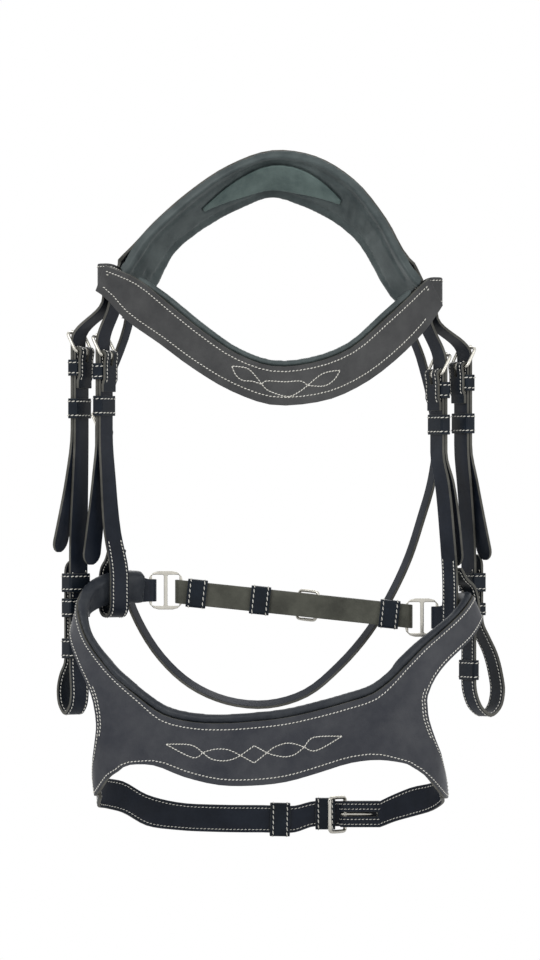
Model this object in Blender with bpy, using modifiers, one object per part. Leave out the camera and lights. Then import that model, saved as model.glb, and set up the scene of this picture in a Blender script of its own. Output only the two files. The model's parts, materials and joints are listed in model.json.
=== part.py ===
"""A horse bridle, hanging by its headpiece as on a tack hook.

The frame is metres with Z up. The origin is under the middle of the poll pad, where the hook carries it.
X runs across the horse's head, and the browband and the noseband bulge towards -Y.
Each strap is an open leather surface with a thickness, bent round its buckle bar or its loop. Each moving
group hangs from an empty that stands on its joint.
"""

from collections import namedtuple
from math import cos, hypot, pi, radians, sin

import bmesh
import bpy
from mathutils import Matrix, Vector

# Head. Every place table is in shares of these three
HEAD_ACROSS = 0.100
HEAD_DEPTH = 0.100
HEAD_HEIGHT = 0.100

# Leather and the play between its layers
LEATHER = 0.0026
FACE_LEATHER = 0.0030
GAP = 0.00035
KEEPER_WALL = 0.0015
LOOP_WALL = 0.0022

# Headpiece
CROWN_END_WIDTH = 0.034
CROWN_OVERLAP = 0.004
PAD_THICK = 0.0066
PAD_ROLL = 0.0024
INSERT_THICK = 0.0016
INSERT_INSET = 0.0045
PAD_SHORT = 3
INSERT_FIRST = 12
INSERT_LAST = 28

# Browband
LOOP_HEIGHT = 0.0215
LOOP_SLANT = {"left": -0.23, "right": 0.33}
LOOP_SLACK_ACROSS = 0.0021
LOOP_SLACK_DEEP = 0.0012
LOOP_CORNER = 0.0030
STRAP_FACING = radians(125)
BILLET_OFFSET = 0.0080
THROAT_OFFSET = 0.0120
BROW_PAD_THICK = 0.0060
BROW_ROLL = 0.0050
BROW_PAD_SHORT = 7

# Straps
CHEEK_WIDTH = 0.0175
HANGER_WIDTH = 0.0165
THROAT_WIDTH = 0.0100
CRANK_WIDTH = 0.0190
DROP_WIDTH = 0.0210
ARM_END_WIDTH = 0.0180
TIP_LENGTH = 0.0090

# Buckles
WIRE = 0.0013
TONGUE_WIRE = 0.0011
FRAME_LENGTH = 0.0178
FRAME_SLACK = 0.0008
FRAME_CORNER = 0.0030
SLOT_WIDTH = 0.0034
BILLET_SLOT_BACK = 0.0044
BILLET_SLOT_AHEAD = 0.0052
CHAPE_SLOT_BACK = 0.0062
CHAPE_SLOT_AHEAD = 0.0080
HOLE_RADIUS = 0.0017
HOLE_FIRST = 0.0120
HOLE_PITCH = 0.0160
HOLES = 4
BILLET_STRAIGHT = 0.0090
CHAPE_LENGTH = 0.0290
KEEPER_START = 0.0060
KEEPER_HEIGHT = 0.0130
KEEPER_CORNER = 0.0006
RUNNER_HEIGHT = 0.0160
CHEEK_RUNNER_AT = 0.0450
HANGER_RUNNER_AT = 0.0400
SET_LENGTH = 0.0620
THROAT_SET_LENGTH = 0.0340

# Bit loops
LEFT_RETURN = 0.0062
RIGHT_RETURN = 0.0070
STUD_WIRE = 0.0012
STUD_FOOT = 0.0070
STUD_HEAD = 0.0050

# Noseband
NOSE_PAD_THICK = 0.0070
NOSE_ROLL = 0.0075
JAW_ROLL = 0.0045
ROLL_FADE = 9
JAW_PAD_SHORT = 3
RING_LENGTH = 0.028
RING_HEIGHT = 0.031
RING_BAR = 0.0030
RING_THICK = 0.0026
RING_CORNER = 0.0085
RING_WINDOW_CORNER = 0.0012

# Rear strap
CRANK_KEEPER = 0.0160
CRANK_SLACK = 0.0010
CRANK_SPREAD_SHARES = (0.15, 0.80, 0.30)

# Chin strap
CHIN_WIRE = 0.0016
CHIN_FRAME_LENGTH = 0.0195
CHIN_FRAME_TILT = radians(50)
CHIN_SLOT_AHEAD = 0.0280
CHIN_TONGUE = 0.0250
CHIN_KEEPER = 0.0160
CHIN_RUN_IN = 0.0234
LAP = 0.0120

# Shares of a padding's roll and of its thickness, at the shoulder of the roll, its flank and the far foot
SHOULDER_SHARE = 0.60
FLANK_SHARE = 0.25
FOOT_SHARE = 0.85

LAYER = LEATHER + GAP
FOLDED = 2 * LAYER
RETURN_OVER_KEEPER = LAYER + LEATHER + KEEPER_WALL + 2 * GAP
RING_FOLD = hypot(RING_BAR, RING_THICK) / 2 + GAP + LEATHER / 2
DOWN = Vector((0, 0, -1))
UP = Vector((0, 0, 1))

Side = namedtuple("Side", "name sign")
LEFT = Side("left", -1)
RIGHT = Side("right", 1)

# The frame's origin, under the middle of the poll, in the tables' own shares
POLL_SHARES = (0.000, 0.150, -0.020)

# Loops of the browband: their middles
LOOP_SHARES = {
    "left": (-1.210, 0.120, -0.860),
    "right": (1.210, 0.120, -0.990),
}

# Crown, from the left loop over the poll to the right: front edge, rear edge
CROWN_SHARES = (
    ((-1.150, 0.000, -0.615), (-0.995, 0.290, -0.745)),
    ((-0.920, 0.000, -0.380), (-0.760, 0.330, -0.510)),
    ((-0.640, 0.000, -0.135), (-0.500, 0.360, -0.320)),
    ((-0.330, 0.000, 0.070), (-0.240, 0.380, -0.185)),
    ((0.020, 0.000, 0.190), (0.020, 0.390, -0.104)),
    ((0.360, 0.000, 0.145), (0.280, 0.380, -0.180)),
    ((0.660, 0.000, -0.035), (0.540, 0.360, -0.310)),
    ((0.920, 0.000, -0.350), (0.770, 0.330, -0.510)),
    ((1.110, -0.005, -0.670), (0.985, 0.300, -0.830)),
)

# Browband: across and down of the top edge, then of the bottom edge
BROW_SHARES = (
    ((-1.310, -0.722), (-1.385, -0.925)),
    ((-1.270, -0.738), (-1.340, -0.955)),
    ((-1.044, -0.840), (-1.160, -1.144)),
    ((-0.776, -1.056), (-0.872, -1.352)),
    ((-0.496, -1.280), (-0.592, -1.560)),
    ((-0.240, -1.448), (-0.304, -1.732)),
    ((0.016, -1.536), (0.000, -1.840)),
    ((0.320, -1.512), (0.368, -1.820)),
    ((0.632, -1.392), (0.680, -1.704)),
    ((0.896, -1.168), (0.984, -1.488)),
    ((1.104, -0.976), (1.232, -1.240)),
    ((1.215, -0.868), (1.325, -1.112)),
    ((1.262, -0.828), (1.372, -1.040)),
)

# Browband seen from above: half across, forward
BROW_PLAN_SHARES = (
    (0.000, -0.730),
    (0.350, -0.660),
    (0.650, -0.515),
    (0.900, -0.360),
    (1.100, -0.2382),
    (1.270, -0.1210),
    (1.343, -0.0700),
    (1.410, -0.0232),
)

# Buckle bars of the hanging sets
BAR_SHARES = {
    "cheek_left": (-1.534, 0.120, -1.410),
    "cheek_right": (1.556, 0.120, -1.530),
    "hanger_left": (-1.336, 0.050, -1.440),
    "hanger_right": (1.360, 0.050, -1.590),
    "throat_left": (-1.370, 0.440, -2.050),
}

# Billet tails below the sets: place, facing in degrees
TAIL_SHARES = {
    "cheek_left": ((-1.575, 0.130, -2.400, 125), (-1.640, 0.140, -2.750, 125), (-1.675, 0.150, -2.920, 125)),
    "cheek_right": ((1.610, 0.205, -2.450, 125), (1.680, 0.300, -2.800, 125), (1.720, 0.370, -2.990, 125)),
    "hanger_left": ((-1.360, 0.085, -2.400, 130), (-1.400, 0.120, -2.800, 138), (-1.425, 0.135, -3.020, 142)),
    "hanger_right": ((1.415, 0.085, -2.450, 128), (1.465, 0.145, -2.800, 130), (1.485, 0.180, -3.030, 132)),
}

# Cheekpieces below the sets: place, facing in degrees
CHEEK_SHARES = {
    "left": ((-1.520, 0.150, -2.450, 131), (-1.536, 0.220, -3.020, 140), (-1.536, 0.220, -3.900, 140)),
    "right": ((1.560, 0.210, -2.500, 125), (1.600, 0.450, -3.080, 125), (1.600, 0.450, -4.060, 125)),
}

# Bit loops: outward, down. They run on from the last place above, which is the zero of the outward share
BIT_LOOP_SHARES = {
    "left": (
        (-0.010, -4.050), (-0.015, -4.150), (0.012, -4.250), (0.070, -4.300), (0.130, -4.250),
        (0.160, -4.130), (0.125, -3.990), (0.070, -3.900),
    ),
    "right": (
        (0.020, -4.170), (0.080, -4.275), (0.170, -4.325), (0.250, -4.270),
        (0.290, -4.140), (0.270, -4.000), (0.215, -3.830), (0.135, -3.690), (0.080, -3.590),
    ),
}
RETURN_TIP_SHARES = {"left": -3.160, "right": -3.120}
RETURN_SETTLED_SHARE = 0.15
BIT_KEEPER_SHARES = {
    "left": ((-3.330, -3.180), (-3.530, -3.380), (-3.860, -3.700)),
    "right": ((-3.330, -3.180), (-3.520, -3.420), (-4.040, -3.880)),
}
STUD_SHARES = {"left": -3.620, "right": -3.375}

# Hangers below the sets: place, facing in degrees. Then the loop round the noseband's arm
HANGER_SHARES = {
    "left": ((-1.295, 0.060, -2.400, 130), (-1.260, 0.095, -2.850, 140), (-1.205, 0.142, -3.180, 150)),
    "right": ((1.375, 0.050, -2.450, 128), (1.415, 0.095, -2.850, 130), (1.442, 0.148, -3.250, 132)),
}
CROSSING_SHARES = {"left": (-1.270, 0.255, -3.320), "right": (1.550, 0.245, -3.470)}
HANGER_LOOP_SHARES = {
    "left": (
        (-0.130, 0.000), (-0.130, -0.100), (-0.117, -0.160), (-0.080, -0.192), (-0.035, -0.200),
        (0.010, -0.192), (0.047, -0.160), (0.060, -0.100), (0.060, 0.100), (0.032, 0.180),
        (-0.042, 0.250), (-0.088, 0.330),
    ),
    "right": (
        (-0.145, 0.000), (-0.145, -0.100), (-0.130, -0.160), (-0.090, -0.195), (-0.035, -0.205),
        (0.020, -0.200), (0.068, -0.170), (0.085, -0.110), (0.085, 0.100), (0.050, 0.180),
        (-0.040, 0.250), (-0.098, 0.330),
    ),
}

# Noseband leather, from the left ring over the nose to the right ring: top edge, lower edge of the arm
ARM_LEFT_SHARES = (
    ((-1.050, 0.385, -3.205), (-1.050, 0.392, -3.415)),
    ((-1.180, 0.310, -3.200), (-1.180, 0.320, -3.420)),
    ((-1.360, 0.200, -3.230), (-1.375, 0.220, -3.440)),
    ((-1.480, 0.080, -3.300), (-1.510, 0.130, -3.500)),
    ((-1.530, -0.060, -3.430), (-1.580, 0.010, -3.620)),
    ((-1.488, -0.190, -3.630), (-1.576, -0.120, -3.750)),
    ((-1.424, -0.300, -3.750), (-1.528, -0.230, -3.890)),
    ((-1.336, -0.400, -3.870), (-1.456, -0.330, -4.030)),
)
# Across, forward and down of the top edge, then across and down of the bottom edge
PANEL_SHARES = (
    ((-1.216, -0.520, -4.008), (-1.232, -4.760)),
    ((-1.040, -0.580, -4.144), (-1.104, -4.680)),
    ((-0.840, -0.640, -4.280), (-0.920, -4.680)),
    ((-0.600, -0.690, -4.336), (-0.680, -4.768)),
    ((-0.360, -0.725, -4.344), (-0.400, -4.832)),
    ((-0.120, -0.740, -4.328), (-0.144, -4.836)),
    ((0.120, -0.730, -4.300), (0.120, -4.808)),
    ((0.360, -0.700, -4.248), (0.384, -4.736)),
    ((0.600, -0.660, -4.184), (0.640, -4.660)),
    ((0.816, -0.610, -4.112), (0.864, -4.640)),
    ((0.976, -0.565, -3.992), (1.040, -4.664)),
    ((1.064, -0.520, -3.904), (1.144, -4.712)),
)
WAIST_LEFT_SHARES = ((-1.360, -0.440, -4.168), (-1.328, -0.455, -4.280), (-1.352, -0.450, -4.368))
WAIST_RIGHT_SHARES = ((1.192, -0.460, -4.112), (1.192, -0.470, -4.176), (1.224, -0.465, -4.288))
PANEL_LEAN_SHARE = -0.050
ROW_SHARES = (0.0, 0.20, 0.36, 0.50, 0.64, 0.82, 1.0)
ARM_RIGHT_SHARES = (
    ((1.208, -0.420, -3.760), (1.336, -0.360, -3.930)),
    ((1.336, -0.330, -3.650), (1.464, -0.270, -3.816)),
    ((1.464, -0.230, -3.540), (1.584, -0.150, -3.710)),
    ((1.560, -0.100, -3.440), (1.660, -0.020, -3.610)),
    ((1.610, 0.040, -3.360), (1.688, 0.100, -3.540)),
    ((1.580, 0.180, -3.360), (1.620, 0.220, -3.570)),
    ((1.490, 0.300, -3.390), (1.505, 0.320, -3.600)),
    ((1.435, 0.355, -3.410), (1.445, 0.370, -3.620)),
)
CHIN_LEFT_SHARES = (
    ((-1.410, -0.170, -4.780), (-1.395, -0.170, -5.010)),
    ((-1.400, -0.300, -4.680), (-1.350, -0.340, -4.900)),
    ((-1.384, -0.380, -4.500), (-1.280, -0.420, -4.780)),
)
CHIN_RIGHT_SHARES = (
    ((1.296, -0.420, -4.470), (1.256, -0.440, -4.790)),
    ((1.344, -0.340, -4.590), (1.328, -0.360, -4.896)),
    ((1.380, -0.220, -4.740), (1.400, -0.200, -4.970)),
    ((1.390, -0.060, -4.800), (1.416, -0.040, -5.000)),
)

# Rings: their middles
RING_SHARES = {"left": (-0.840, 0.480, -3.320), "right": (1.224, 0.480, -3.540)}
CRANK_BAR_SHARE = 0.380
CRANK_TIP_SHARE = 0.850
CRANK_KEEPER_SHARES = (-0.590, -0.080, 0.960)

# Chin strap: top edge, bottom edge
DROP_LEFT_SHARES = (
    ((-1.375, -0.220, -4.720), (-1.345, -0.240, -4.960)),
    ((-1.376, -0.120, -4.790), (-1.362, -0.120, -5.030)),
    ((-1.310, 0.000, -4.810), (-1.310, 0.000, -5.050)),
    ((-1.180, 0.120, -4.840), (-1.180, 0.120, -5.090)),
    ((-0.990, 0.220, -4.950), (-0.990, 0.220, -5.200)),
    ((-0.750, 0.300, -5.016), (-0.750, 0.300, -5.240)),
    ((-0.400, 0.360, -5.040), (-0.400, 0.360, -5.260)),
    ((-0.050, 0.390, -5.045), (-0.050, 0.390, -5.265)),
    ((0.200, 0.405, -5.050), (0.200, 0.405, -5.265)),
)
DROP_RIGHT_SHARES = (
    ((1.348, -0.200, -4.745), (1.364, -0.190, -4.960)),
    ((1.355, -0.050, -4.810), (1.375, -0.030, -5.010)),
    ((1.300, 0.080, -4.850), (1.300, 0.080, -5.070)),
    ((1.130, 0.200, -4.895), (1.130, 0.200, -5.130)),
    ((1.000, 0.255, -4.950), (1.000, 0.255, -5.170)),
)
CHIN_BAR_SHARES = (0.604, 0.360, -5.115)
CHIN_TAIL_SHARE = 0.860
CHIN_KEEPER_SHARES = (0.080, 0.445)

# Throatlatch: place, then the direction across it
THROAT_SHARES = (
    ((1.210, 0.330, -1.450), (-0.57, 0.82, 0.00)),
    ((1.300, 0.400, -1.800), (-0.57, 0.82, 0.00)),
    ((1.340, 0.450, -2.150), (-0.55, 0.83, 0.05)),
    ((1.300, 0.480, -2.450), (-0.50, 0.85, 0.10)),
    ((1.215, 0.520, -2.750), (-0.45, 0.87, 0.20)),
    ((1.120, 0.600, -3.050), (-0.40, 0.87, 0.30)),
    ((1.000, 0.700, -3.320), (-0.35, 0.87, 0.35)),
    ((0.800, 0.780, -3.660), (-0.35, 0.87, 0.35)),
    ((0.560, 0.820, -3.940), (-0.30, 0.87, 0.40)),
    ((0.290, 0.820, -4.160), (-0.20, 0.87, 0.45)),
    ((-0.016, 0.820, -4.250), (0.00, 0.87, 0.50)),
    ((-0.350, 0.820, -4.220), (0.15, 0.87, 0.45)),
    ((-0.640, 0.820, -4.090), (0.28, 0.87, 0.40)),
    ((-0.880, 0.810, -3.870), (0.35, 0.87, 0.35)),
    ((-1.070, 0.780, -3.570), (0.40, 0.87, 0.30)),
    ((-1.190, 0.720, -3.250), (0.45, 0.87, 0.20)),
    ((-1.290, 0.620, -2.900), (0.52, 0.85, 0.10)),
)

# Looks: colour, roughness, metallic
LOOKS = {
    "leather": ((0.016, 0.016, 0.018), 0.42, 0.0),
    "lining": ((0.012, 0.016, 0.022), 0.55, 0.0),
    "insert": ((0.012, 0.035, 0.028), 0.60, 0.0),
    "metal": ((0.78, 0.77, 0.72), 0.22, 1.0),
}

PARTS = bpy.data.collections.new("horse_bridle")
CUTTERS = bpy.data.collections.new("cutters")


def clear_scene():
    for item in list(bpy.data.objects):
        bpy.data.objects.remove(item)
    bpy.context.scene.collection.children.link(PARTS)
    bpy.context.scene.collection.children.link(CUTTERS)
    CUTTERS.hide_render = True


def at(share):
    """A place from a table, seen from the poll."""
    across, deep, down = (value - zero for value, zero in zip(share, POLL_SHARES))
    return Vector((across * HEAD_ACROSS, deep * HEAD_DEPTH, down * HEAD_HEIGHT))


def facing(sign, angle):
    return Vector((sign * sin(angle), -cos(angle), 0))


def rearward(sign, angle):
    return Vector((sign * cos(angle), sin(angle), 0))


def body(name, place, parent=None):
    """An empty on a joint. Everything that moves with it is its child."""
    empty = bpy.data.objects.new(name, None)
    empty.empty_display_size = CROWN_END_WIDTH
    PARTS.objects.link(empty)
    hang(empty, parent)
    empty.location = place - (origin_of(parent) if parent else Vector())
    return empty


def origin_of(empty):
    place = empty.location.copy()
    if empty.parent:
        place += origin_of(empty.parent)
    return place


def hang(item, parent):
    item.parent = parent


def finish(name, item, parent, look):
    """Links a new object under its body, keeping its world place, and gives it its material."""
    item.name = name
    if not item.users_collection:
        PARTS.objects.link(item)
    if parent:
        item.parent = parent
        item.matrix_parent_inverse = Matrix.Translation(-origin_of(parent))
    colour, roughness, metallic = LOOKS[look]
    material = bpy.data.materials.new(name)
    material.use_nodes = True
    shader = material.node_tree.nodes["Principled BSDF"]
    shader.inputs["Base Color"].default_value = (*colour, 1)
    shader.inputs["Roughness"].default_value = roughness
    shader.inputs["Metallic"].default_value = metallic
    item.data.materials.append(material)
    return item


def smooth(rows, steps, first=None, last=None):
    """Points on a smooth curve through each row's points, with the tangents at the ends where they are given."""
    lengths = [max((b[0] - a[0]).length, GAP) for a, b in zip(rows, rows[1:])]
    slopes = []
    for i, row in enumerate(rows):
        before = [(b - a) / lengths[i - 1] for a, b in zip(rows[i - 1], row)] if i else None
        after = [(b - a) / lengths[i] for a, b in zip(row, rows[i + 1])] if i < len(lengths) else None
        if before and after:
            total = lengths[i - 1] + lengths[i]
            slope = [(p * lengths[i] + q * lengths[i - 1]) / total for p, q in zip(before, after)]
        else:
            slope = before or after
        if not i and first:
            slope = [first] * len(row)
        if i == len(lengths) and last:
            slope = [last] * len(row)
        slopes.append(slope)
    made = []
    for i, length in enumerate(lengths):
        for step in range(steps):
            t = step / steps
            made.append(
                tuple(
                    a * (1 + 2 * t) * (1 - t) ** 2 + b * t * t * (3 - 2 * t)
                    + p * length * t * (1 - t) ** 2 - q * length * t * t * (1 - t)
                    for a, b, p, q in zip(rows[i], rows[i + 1], slopes[i], slopes[i + 1])
                )
            )
    made.append(tuple(rows[-1]))
    return made


def rails(centre, across, width):
    return (centre - across * width / 2, centre + across * width / 2)


def grow(mesh, line, rows):
    """Extrudes a line of vertices through the rows, and returns the last line."""
    for row in rows:
        edges = [mesh.edges.get(pair) for pair in zip(line, line[1:])]
        made = bmesh.ops.extrude_edge_only(mesh, edges=edges)["geom"]
        fresh = [item for item in made if isinstance(item, bmesh.types.BMVert)]
        line = [min(fresh, key=lambda vert, old=old: (vert.co - old.co).length_squared) for old in line]
        for vert, place in zip(line, row):
            vert.co = place
    return line


def first_line(mesh, row):
    line = [mesh.verts.new(place) for place in row]
    for pair in zip(line, line[1:]):
        mesh.edges.new(pair)
    return line


def thicken(name, mesh, thick, parent, look):
    bmesh.ops.recalc_face_normals(mesh, faces=mesh.faces)
    data = bpy.data.meshes.new(name)
    mesh.to_mesh(data)
    mesh.free()
    item = finish(name, bpy.data.objects.new(name, data), parent, look)
    solidify = item.modifiers.new("thickness", "SOLIDIFY")
    solidify.thickness = thick
    solidify.offset = 0
    solidify.use_even_offset = True
    return item


def sheet(name, rows, thick, parent, look="leather"):
    """Leather through rows of points."""
    mesh = bmesh.new()
    grow(mesh, first_line(mesh, rows[0]), rows[1:])
    return thicken(name, mesh, thick, parent, look)


def loft(name, sections, parent, look):
    """A soft solid through closed sections, with a cap at each end."""
    mesh = bmesh.new()
    ring = [mesh.verts.new(place) for place in sections[0]]
    edges = [mesh.edges.new(pair) for pair in zip(ring, ring[1:] + ring[:1])]
    mesh.faces.new(ring)
    for section in sections[1:]:
        made = bmesh.ops.extrude_edge_only(mesh, edges=edges)["geom"]
        fresh = [item for item in made if isinstance(item, bmesh.types.BMVert)]
        ring = [min(fresh, key=lambda vert, old=old: (vert.co - old.co).length_squared) for old in ring]
        for vert, place in zip(ring, section):
            vert.co = place
        edges = [mesh.edges.get(pair) for pair in zip(ring, ring[1:] + ring[:1])]
    mesh.faces.new(ring)
    bmesh.ops.recalc_face_normals(mesh, faces=mesh.faces)
    data = bpy.data.meshes.new(name)
    mesh.to_mesh(data)
    mesh.free()
    return finish(name, bpy.data.objects.new(name, data), parent, look)


def wire(name, points, radius, parent, cyclic=False):
    """A round wire along its points, with filled ends, made a mesh."""
    curve = bpy.data.curves.new(name, "CURVE")
    curve.dimensions = "3D"
    curve.bevel_depth = radius
    curve.bevel_resolution = 2
    curve.use_fill_caps = True
    spline = curve.splines.new("POLY")
    spline.points.add(len(points) - 1)
    for point, place in zip(spline.points, points):
        point.co = (*place, 1)
    spline.use_cyclic_u = cyclic
    return finish(name, bpy.data.objects.new(name, curve), parent, "metal")


def rounded(half_across, half_deep, corner, middle=(0, 0)):
    """The outline of a rectangle with round corners, in its own plane."""
    outline = []
    for quarter in range(4):
        side_a = 1 if quarter in (0, 3) else -1
        side_b = 1 if quarter < 2 else -1
        for step in range(4):
            turn = (quarter + step / 3) * pi / 2
            outline.append(
                (
                    middle[0] + side_a * (half_across - corner) + corner * cos(turn),
                    middle[1] + side_b * (half_deep - corner) + corner * sin(turn),
                )
            )
    return outline


def plate(name, matrix, outlines, thick, parent, look):
    """A flat plate from an outline and the outlines of its holes."""
    curve = bpy.data.curves.new(name, "CURVE")
    curve.dimensions = "2D"
    curve.fill_mode = "BOTH"
    curve.extrude = thick / 2
    for outline in outlines:
        spline = curve.splines.new("POLY")
        spline.points.add(len(outline) - 1)
        for point, place in zip(spline.points, outline):
            point.co = (*place, 0, 1)
        spline.use_cyclic_u = True
    item = finish(name, bpy.data.objects.new(name, curve), parent, look)
    item.matrix_basis = matrix
    return item


def frame_at(centre, normal, along=UP):
    """A frame whose X runs across a strap, whose Y is its outward normal and whose Z runs along it."""
    across = normal.cross(along).normalized()
    matrix = Matrix((across, normal, along)).transposed().to_4x4()
    matrix.translation = centre
    return matrix


def keeper(name, frame, half_across, low, high, height, parent, wall=KEEPER_WALL, corner=KEEPER_CORNER):
    """A leather band round a stack of straps: low and high are the inner faces along the normal."""
    middle = (0, (low + high) / 2)
    inner = rounded(half_across, (high - low) / 2, corner, middle)
    outer = rounded(half_across + wall, (high - low) / 2 + wall, corner + wall, middle)
    return plate(name, frame, (outer, inner), height, parent, "leather")


def cutter(name, matrix, size):
    mesh = bmesh.new()
    bmesh.ops.create_cube(mesh, size=1)
    bmesh.ops.scale(mesh, vec=size, verts=mesh.verts)
    data = bpy.data.meshes.new(name)
    mesh.to_mesh(data)
    mesh.free()
    return tool(name, data, matrix)


def drill(name, matrix, radius, depth):
    """A round cutter along the frame's Y."""
    mesh = bmesh.new()
    bmesh.ops.create_cone(mesh, cap_ends=True, segments=12, radius1=radius, radius2=radius, depth=depth)
    bmesh.ops.rotate(mesh, verts=mesh.verts, matrix=Matrix.Rotation(pi / 2, 3, "X"))
    data = bpy.data.meshes.new(name)
    mesh.to_mesh(data)
    mesh.free()
    return tool(name, data, matrix)


def tool(name, data, matrix):
    item = bpy.data.objects.new(name, data)
    item.matrix_basis = matrix
    item.hide_render = True
    item.display_type = "WIRE"
    CUTTERS.objects.link(item)
    return item


def cut(item, tools):
    for shape in tools:
        boolean = item.modifiers.new(shape.name, "BOOLEAN")
        boolean.operation = "DIFFERENCE"
        boolean.solver = "EXACT"
        boolean.object = shape


class Seat:
    """Where a buckle set lies: the billet's plane at the bar, with n outward and u down the strap."""

    def __init__(self, place, sign, along=DOWN, normal=None):
        self.place = place
        self.along = along
        self.normal = normal or facing(sign, STRAP_FACING)
        self.across = self.normal.cross(-along).normalized()

    def point(self, n, u, w=0.0):
        return self.place + self.normal * n + self.along * u + self.across * w

    def rails(self, n, u, width):
        return rails(self.point(n, u), self.across, width)

    def frame(self, n, u):
        return frame_at(self.point(n, u), self.normal, -self.along)


def bar_arc(n, radius, start, end, steps):
    """Points round a bar: the angle is 0 on the inner side, a quarter turn at the top and half at the outer."""
    angles = [start + (end - start) * step / steps for step in range(steps + 1)]
    return [(n - radius * cos(angle), -radius * sin(angle)) for angle in angles]


def chape(seat, width, length):
    """The folded end of a strap, from its sewn end round the bar and down the main layer."""
    run = [
        (-2 * LAYER, CHAPE_LENGTH),
        (-2 * LAYER, CHAPE_LENGTH - KEEPER_START),
        (-RETURN_OVER_KEEPER, KEEPER_START + KEEPER_HEIGHT),
        (-RETURN_OVER_KEEPER, KEEPER_START),
    ]
    run += bar_arc(-2 * LAYER, LAYER, 0, pi, 8)
    run += [(-LAYER, CHAPE_SLOT_AHEAD), (-LAYER, length)]
    return [seat.rails(n, u, width) for n, u in run]


def frame_wire(name, seat, width, parent, radius=WIRE):
    """A buckle frame: the bar in the fold, two sides, and the far bar that stands over the billet."""
    half = width / 2 + FRAME_SLACK + radius
    rise = 3 * LAYER
    reach = (FRAME_LENGTH**2 - rise**2) ** 0.5
    outline = rounded(half, FRAME_LENGTH / 2, FRAME_CORNER)
    points = []
    for across, along in outline:
        share = along / FRAME_LENGTH + 0.5
        points.append(seat.point(-2 * LAYER + rise * share, -reach * share, across))
    return wire(name, points, radius, parent, cyclic=True)


def tongue_wire(name, seat, parent):
    rise = 3 * LAYER
    reach = (FRAME_LENGTH**2 - rise**2) ** 0.5
    bend = WIRE + GAP + TONGUE_WIRE
    run = bar_arc(-2 * LAYER, bend, -pi / 2, pi / 2, 8)
    rest = LAYER + WIRE + GAP + TONGUE_WIRE
    run += [
        (LEATHER / 2, -bend),
        (LEATHER / 2 + TONGUE_WIRE, -bend - TONGUE_WIRE / 2),
        (LEATHER / 2 + 2 * TONGUE_WIRE, -bend - 5 * TONGUE_WIRE / 2),
        (rest, -reach),
        (rest + TONGUE_WIRE / 4, -reach - 2 * WIRE),
    ]
    return wire(name, [seat.point(n, u) for n, u in run], TONGUE_WIRE, parent)


def chape_slot(name, seat):
    size = (SLOT_WIDTH, 5 * LAYER, CHAPE_SLOT_BACK + CHAPE_SLOT_AHEAD)
    return cutter(name, seat.frame(-2 * LAYER, (CHAPE_SLOT_AHEAD - CHAPE_SLOT_BACK) / 2), size)


def billet_slot(name, seat):
    size = (SLOT_WIDTH, 3 * LEATHER, BILLET_SLOT_BACK + BILLET_SLOT_AHEAD)
    return cutter(name, seat.frame(0, (BILLET_SLOT_AHEAD - BILLET_SLOT_BACK) / 2), size)


def set_keepers(name, seat, width, runner_at, parent, runner_body):
    half = width / 2 + GAP
    low = -LAYER - LEATHER / 2 - GAP
    high = LEATHER / 2 + GAP
    keeper(
        f"{name}_keeper", seat.frame(0, KEEPER_START + KEEPER_HEIGHT / 2), half, low, high, KEEPER_HEIGHT, parent
    )
    keeper(f"{name}_runner", seat.frame(0, runner_at), half, low, high, RUNNER_HEIGHT, runner_body)


def tip(centre, across, along, width):
    """The rows of a rounded strap end."""
    shares = ((0.0, 1.0), (0.35, 0.93), (0.62, 0.78), (0.84, 0.56), (1.0, 0.26))
    return [rails(centre + along * TIP_LENGTH * far, across, width * part) for far, part in shares]


def hung(side, table, width):
    """Rows of rails from a table of places and facings."""
    rows = []
    for share in table:
        rows.append(rails(at(share), seat_across(side, radians(share[3])), width))
    return rows


def seat_across(side, angle):
    return facing(side.sign, angle).cross(UP)


def billet(name, side, seat, width, layer, shift, tail, parent, straight=SET_LENGTH):
    """A strap that hangs from a loop, swings out to its buckle and runs on through it."""
    loop = at(LOOP_SHARES[side.name])
    normal = facing(side.sign, STRAP_FACING)
    top = loop + normal * layer + rearward(side.sign, STRAP_FACING) * shift
    out = loop_exit(side, shift, width)
    rows = [rails(top + UP * CROWN_OVERLAP, seat.across, width)]
    swing = [rails(top + DOWN * out, seat.across, width), seat.rails(0, -BILLET_STRAIGHT, width)]
    rows += smooth(swing, 10, DOWN, DOWN)
    rows.append(seat.rails(0, straight, width))
    if tail:
        lower = smooth([rows[-1]] + hung(side, tail, width), 4, DOWN)
        rows += lower[1:]
        along = ((lower[-1][0] + lower[-1][1]) - (lower[-2][0] + lower[-2][1])).normalized()
        centre = (lower[-1][0] + lower[-1][1]) / 2
        rows += tip(centre, seat_across(side, radians(tail[-1][3])), along, width)[1:]
    else:
        rows += tip((rows[-1][0] + rows[-1][1]) / 2, seat.across, DOWN, width)[1:]
    item = sheet(name, rows, LEATHER, parent)
    tools = [billet_slot(f"{name}_slot", seat)]
    if tail:
        for hole in range(HOLES):
            place = seat.frame(0, HOLE_FIRST + HOLE_PITCH * hole)
            tools.append(drill(f"{name}_hole_{hole}", place, HOLE_RADIUS, 3 * LEATHER))
    cut(item, tools)
    return item


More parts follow.
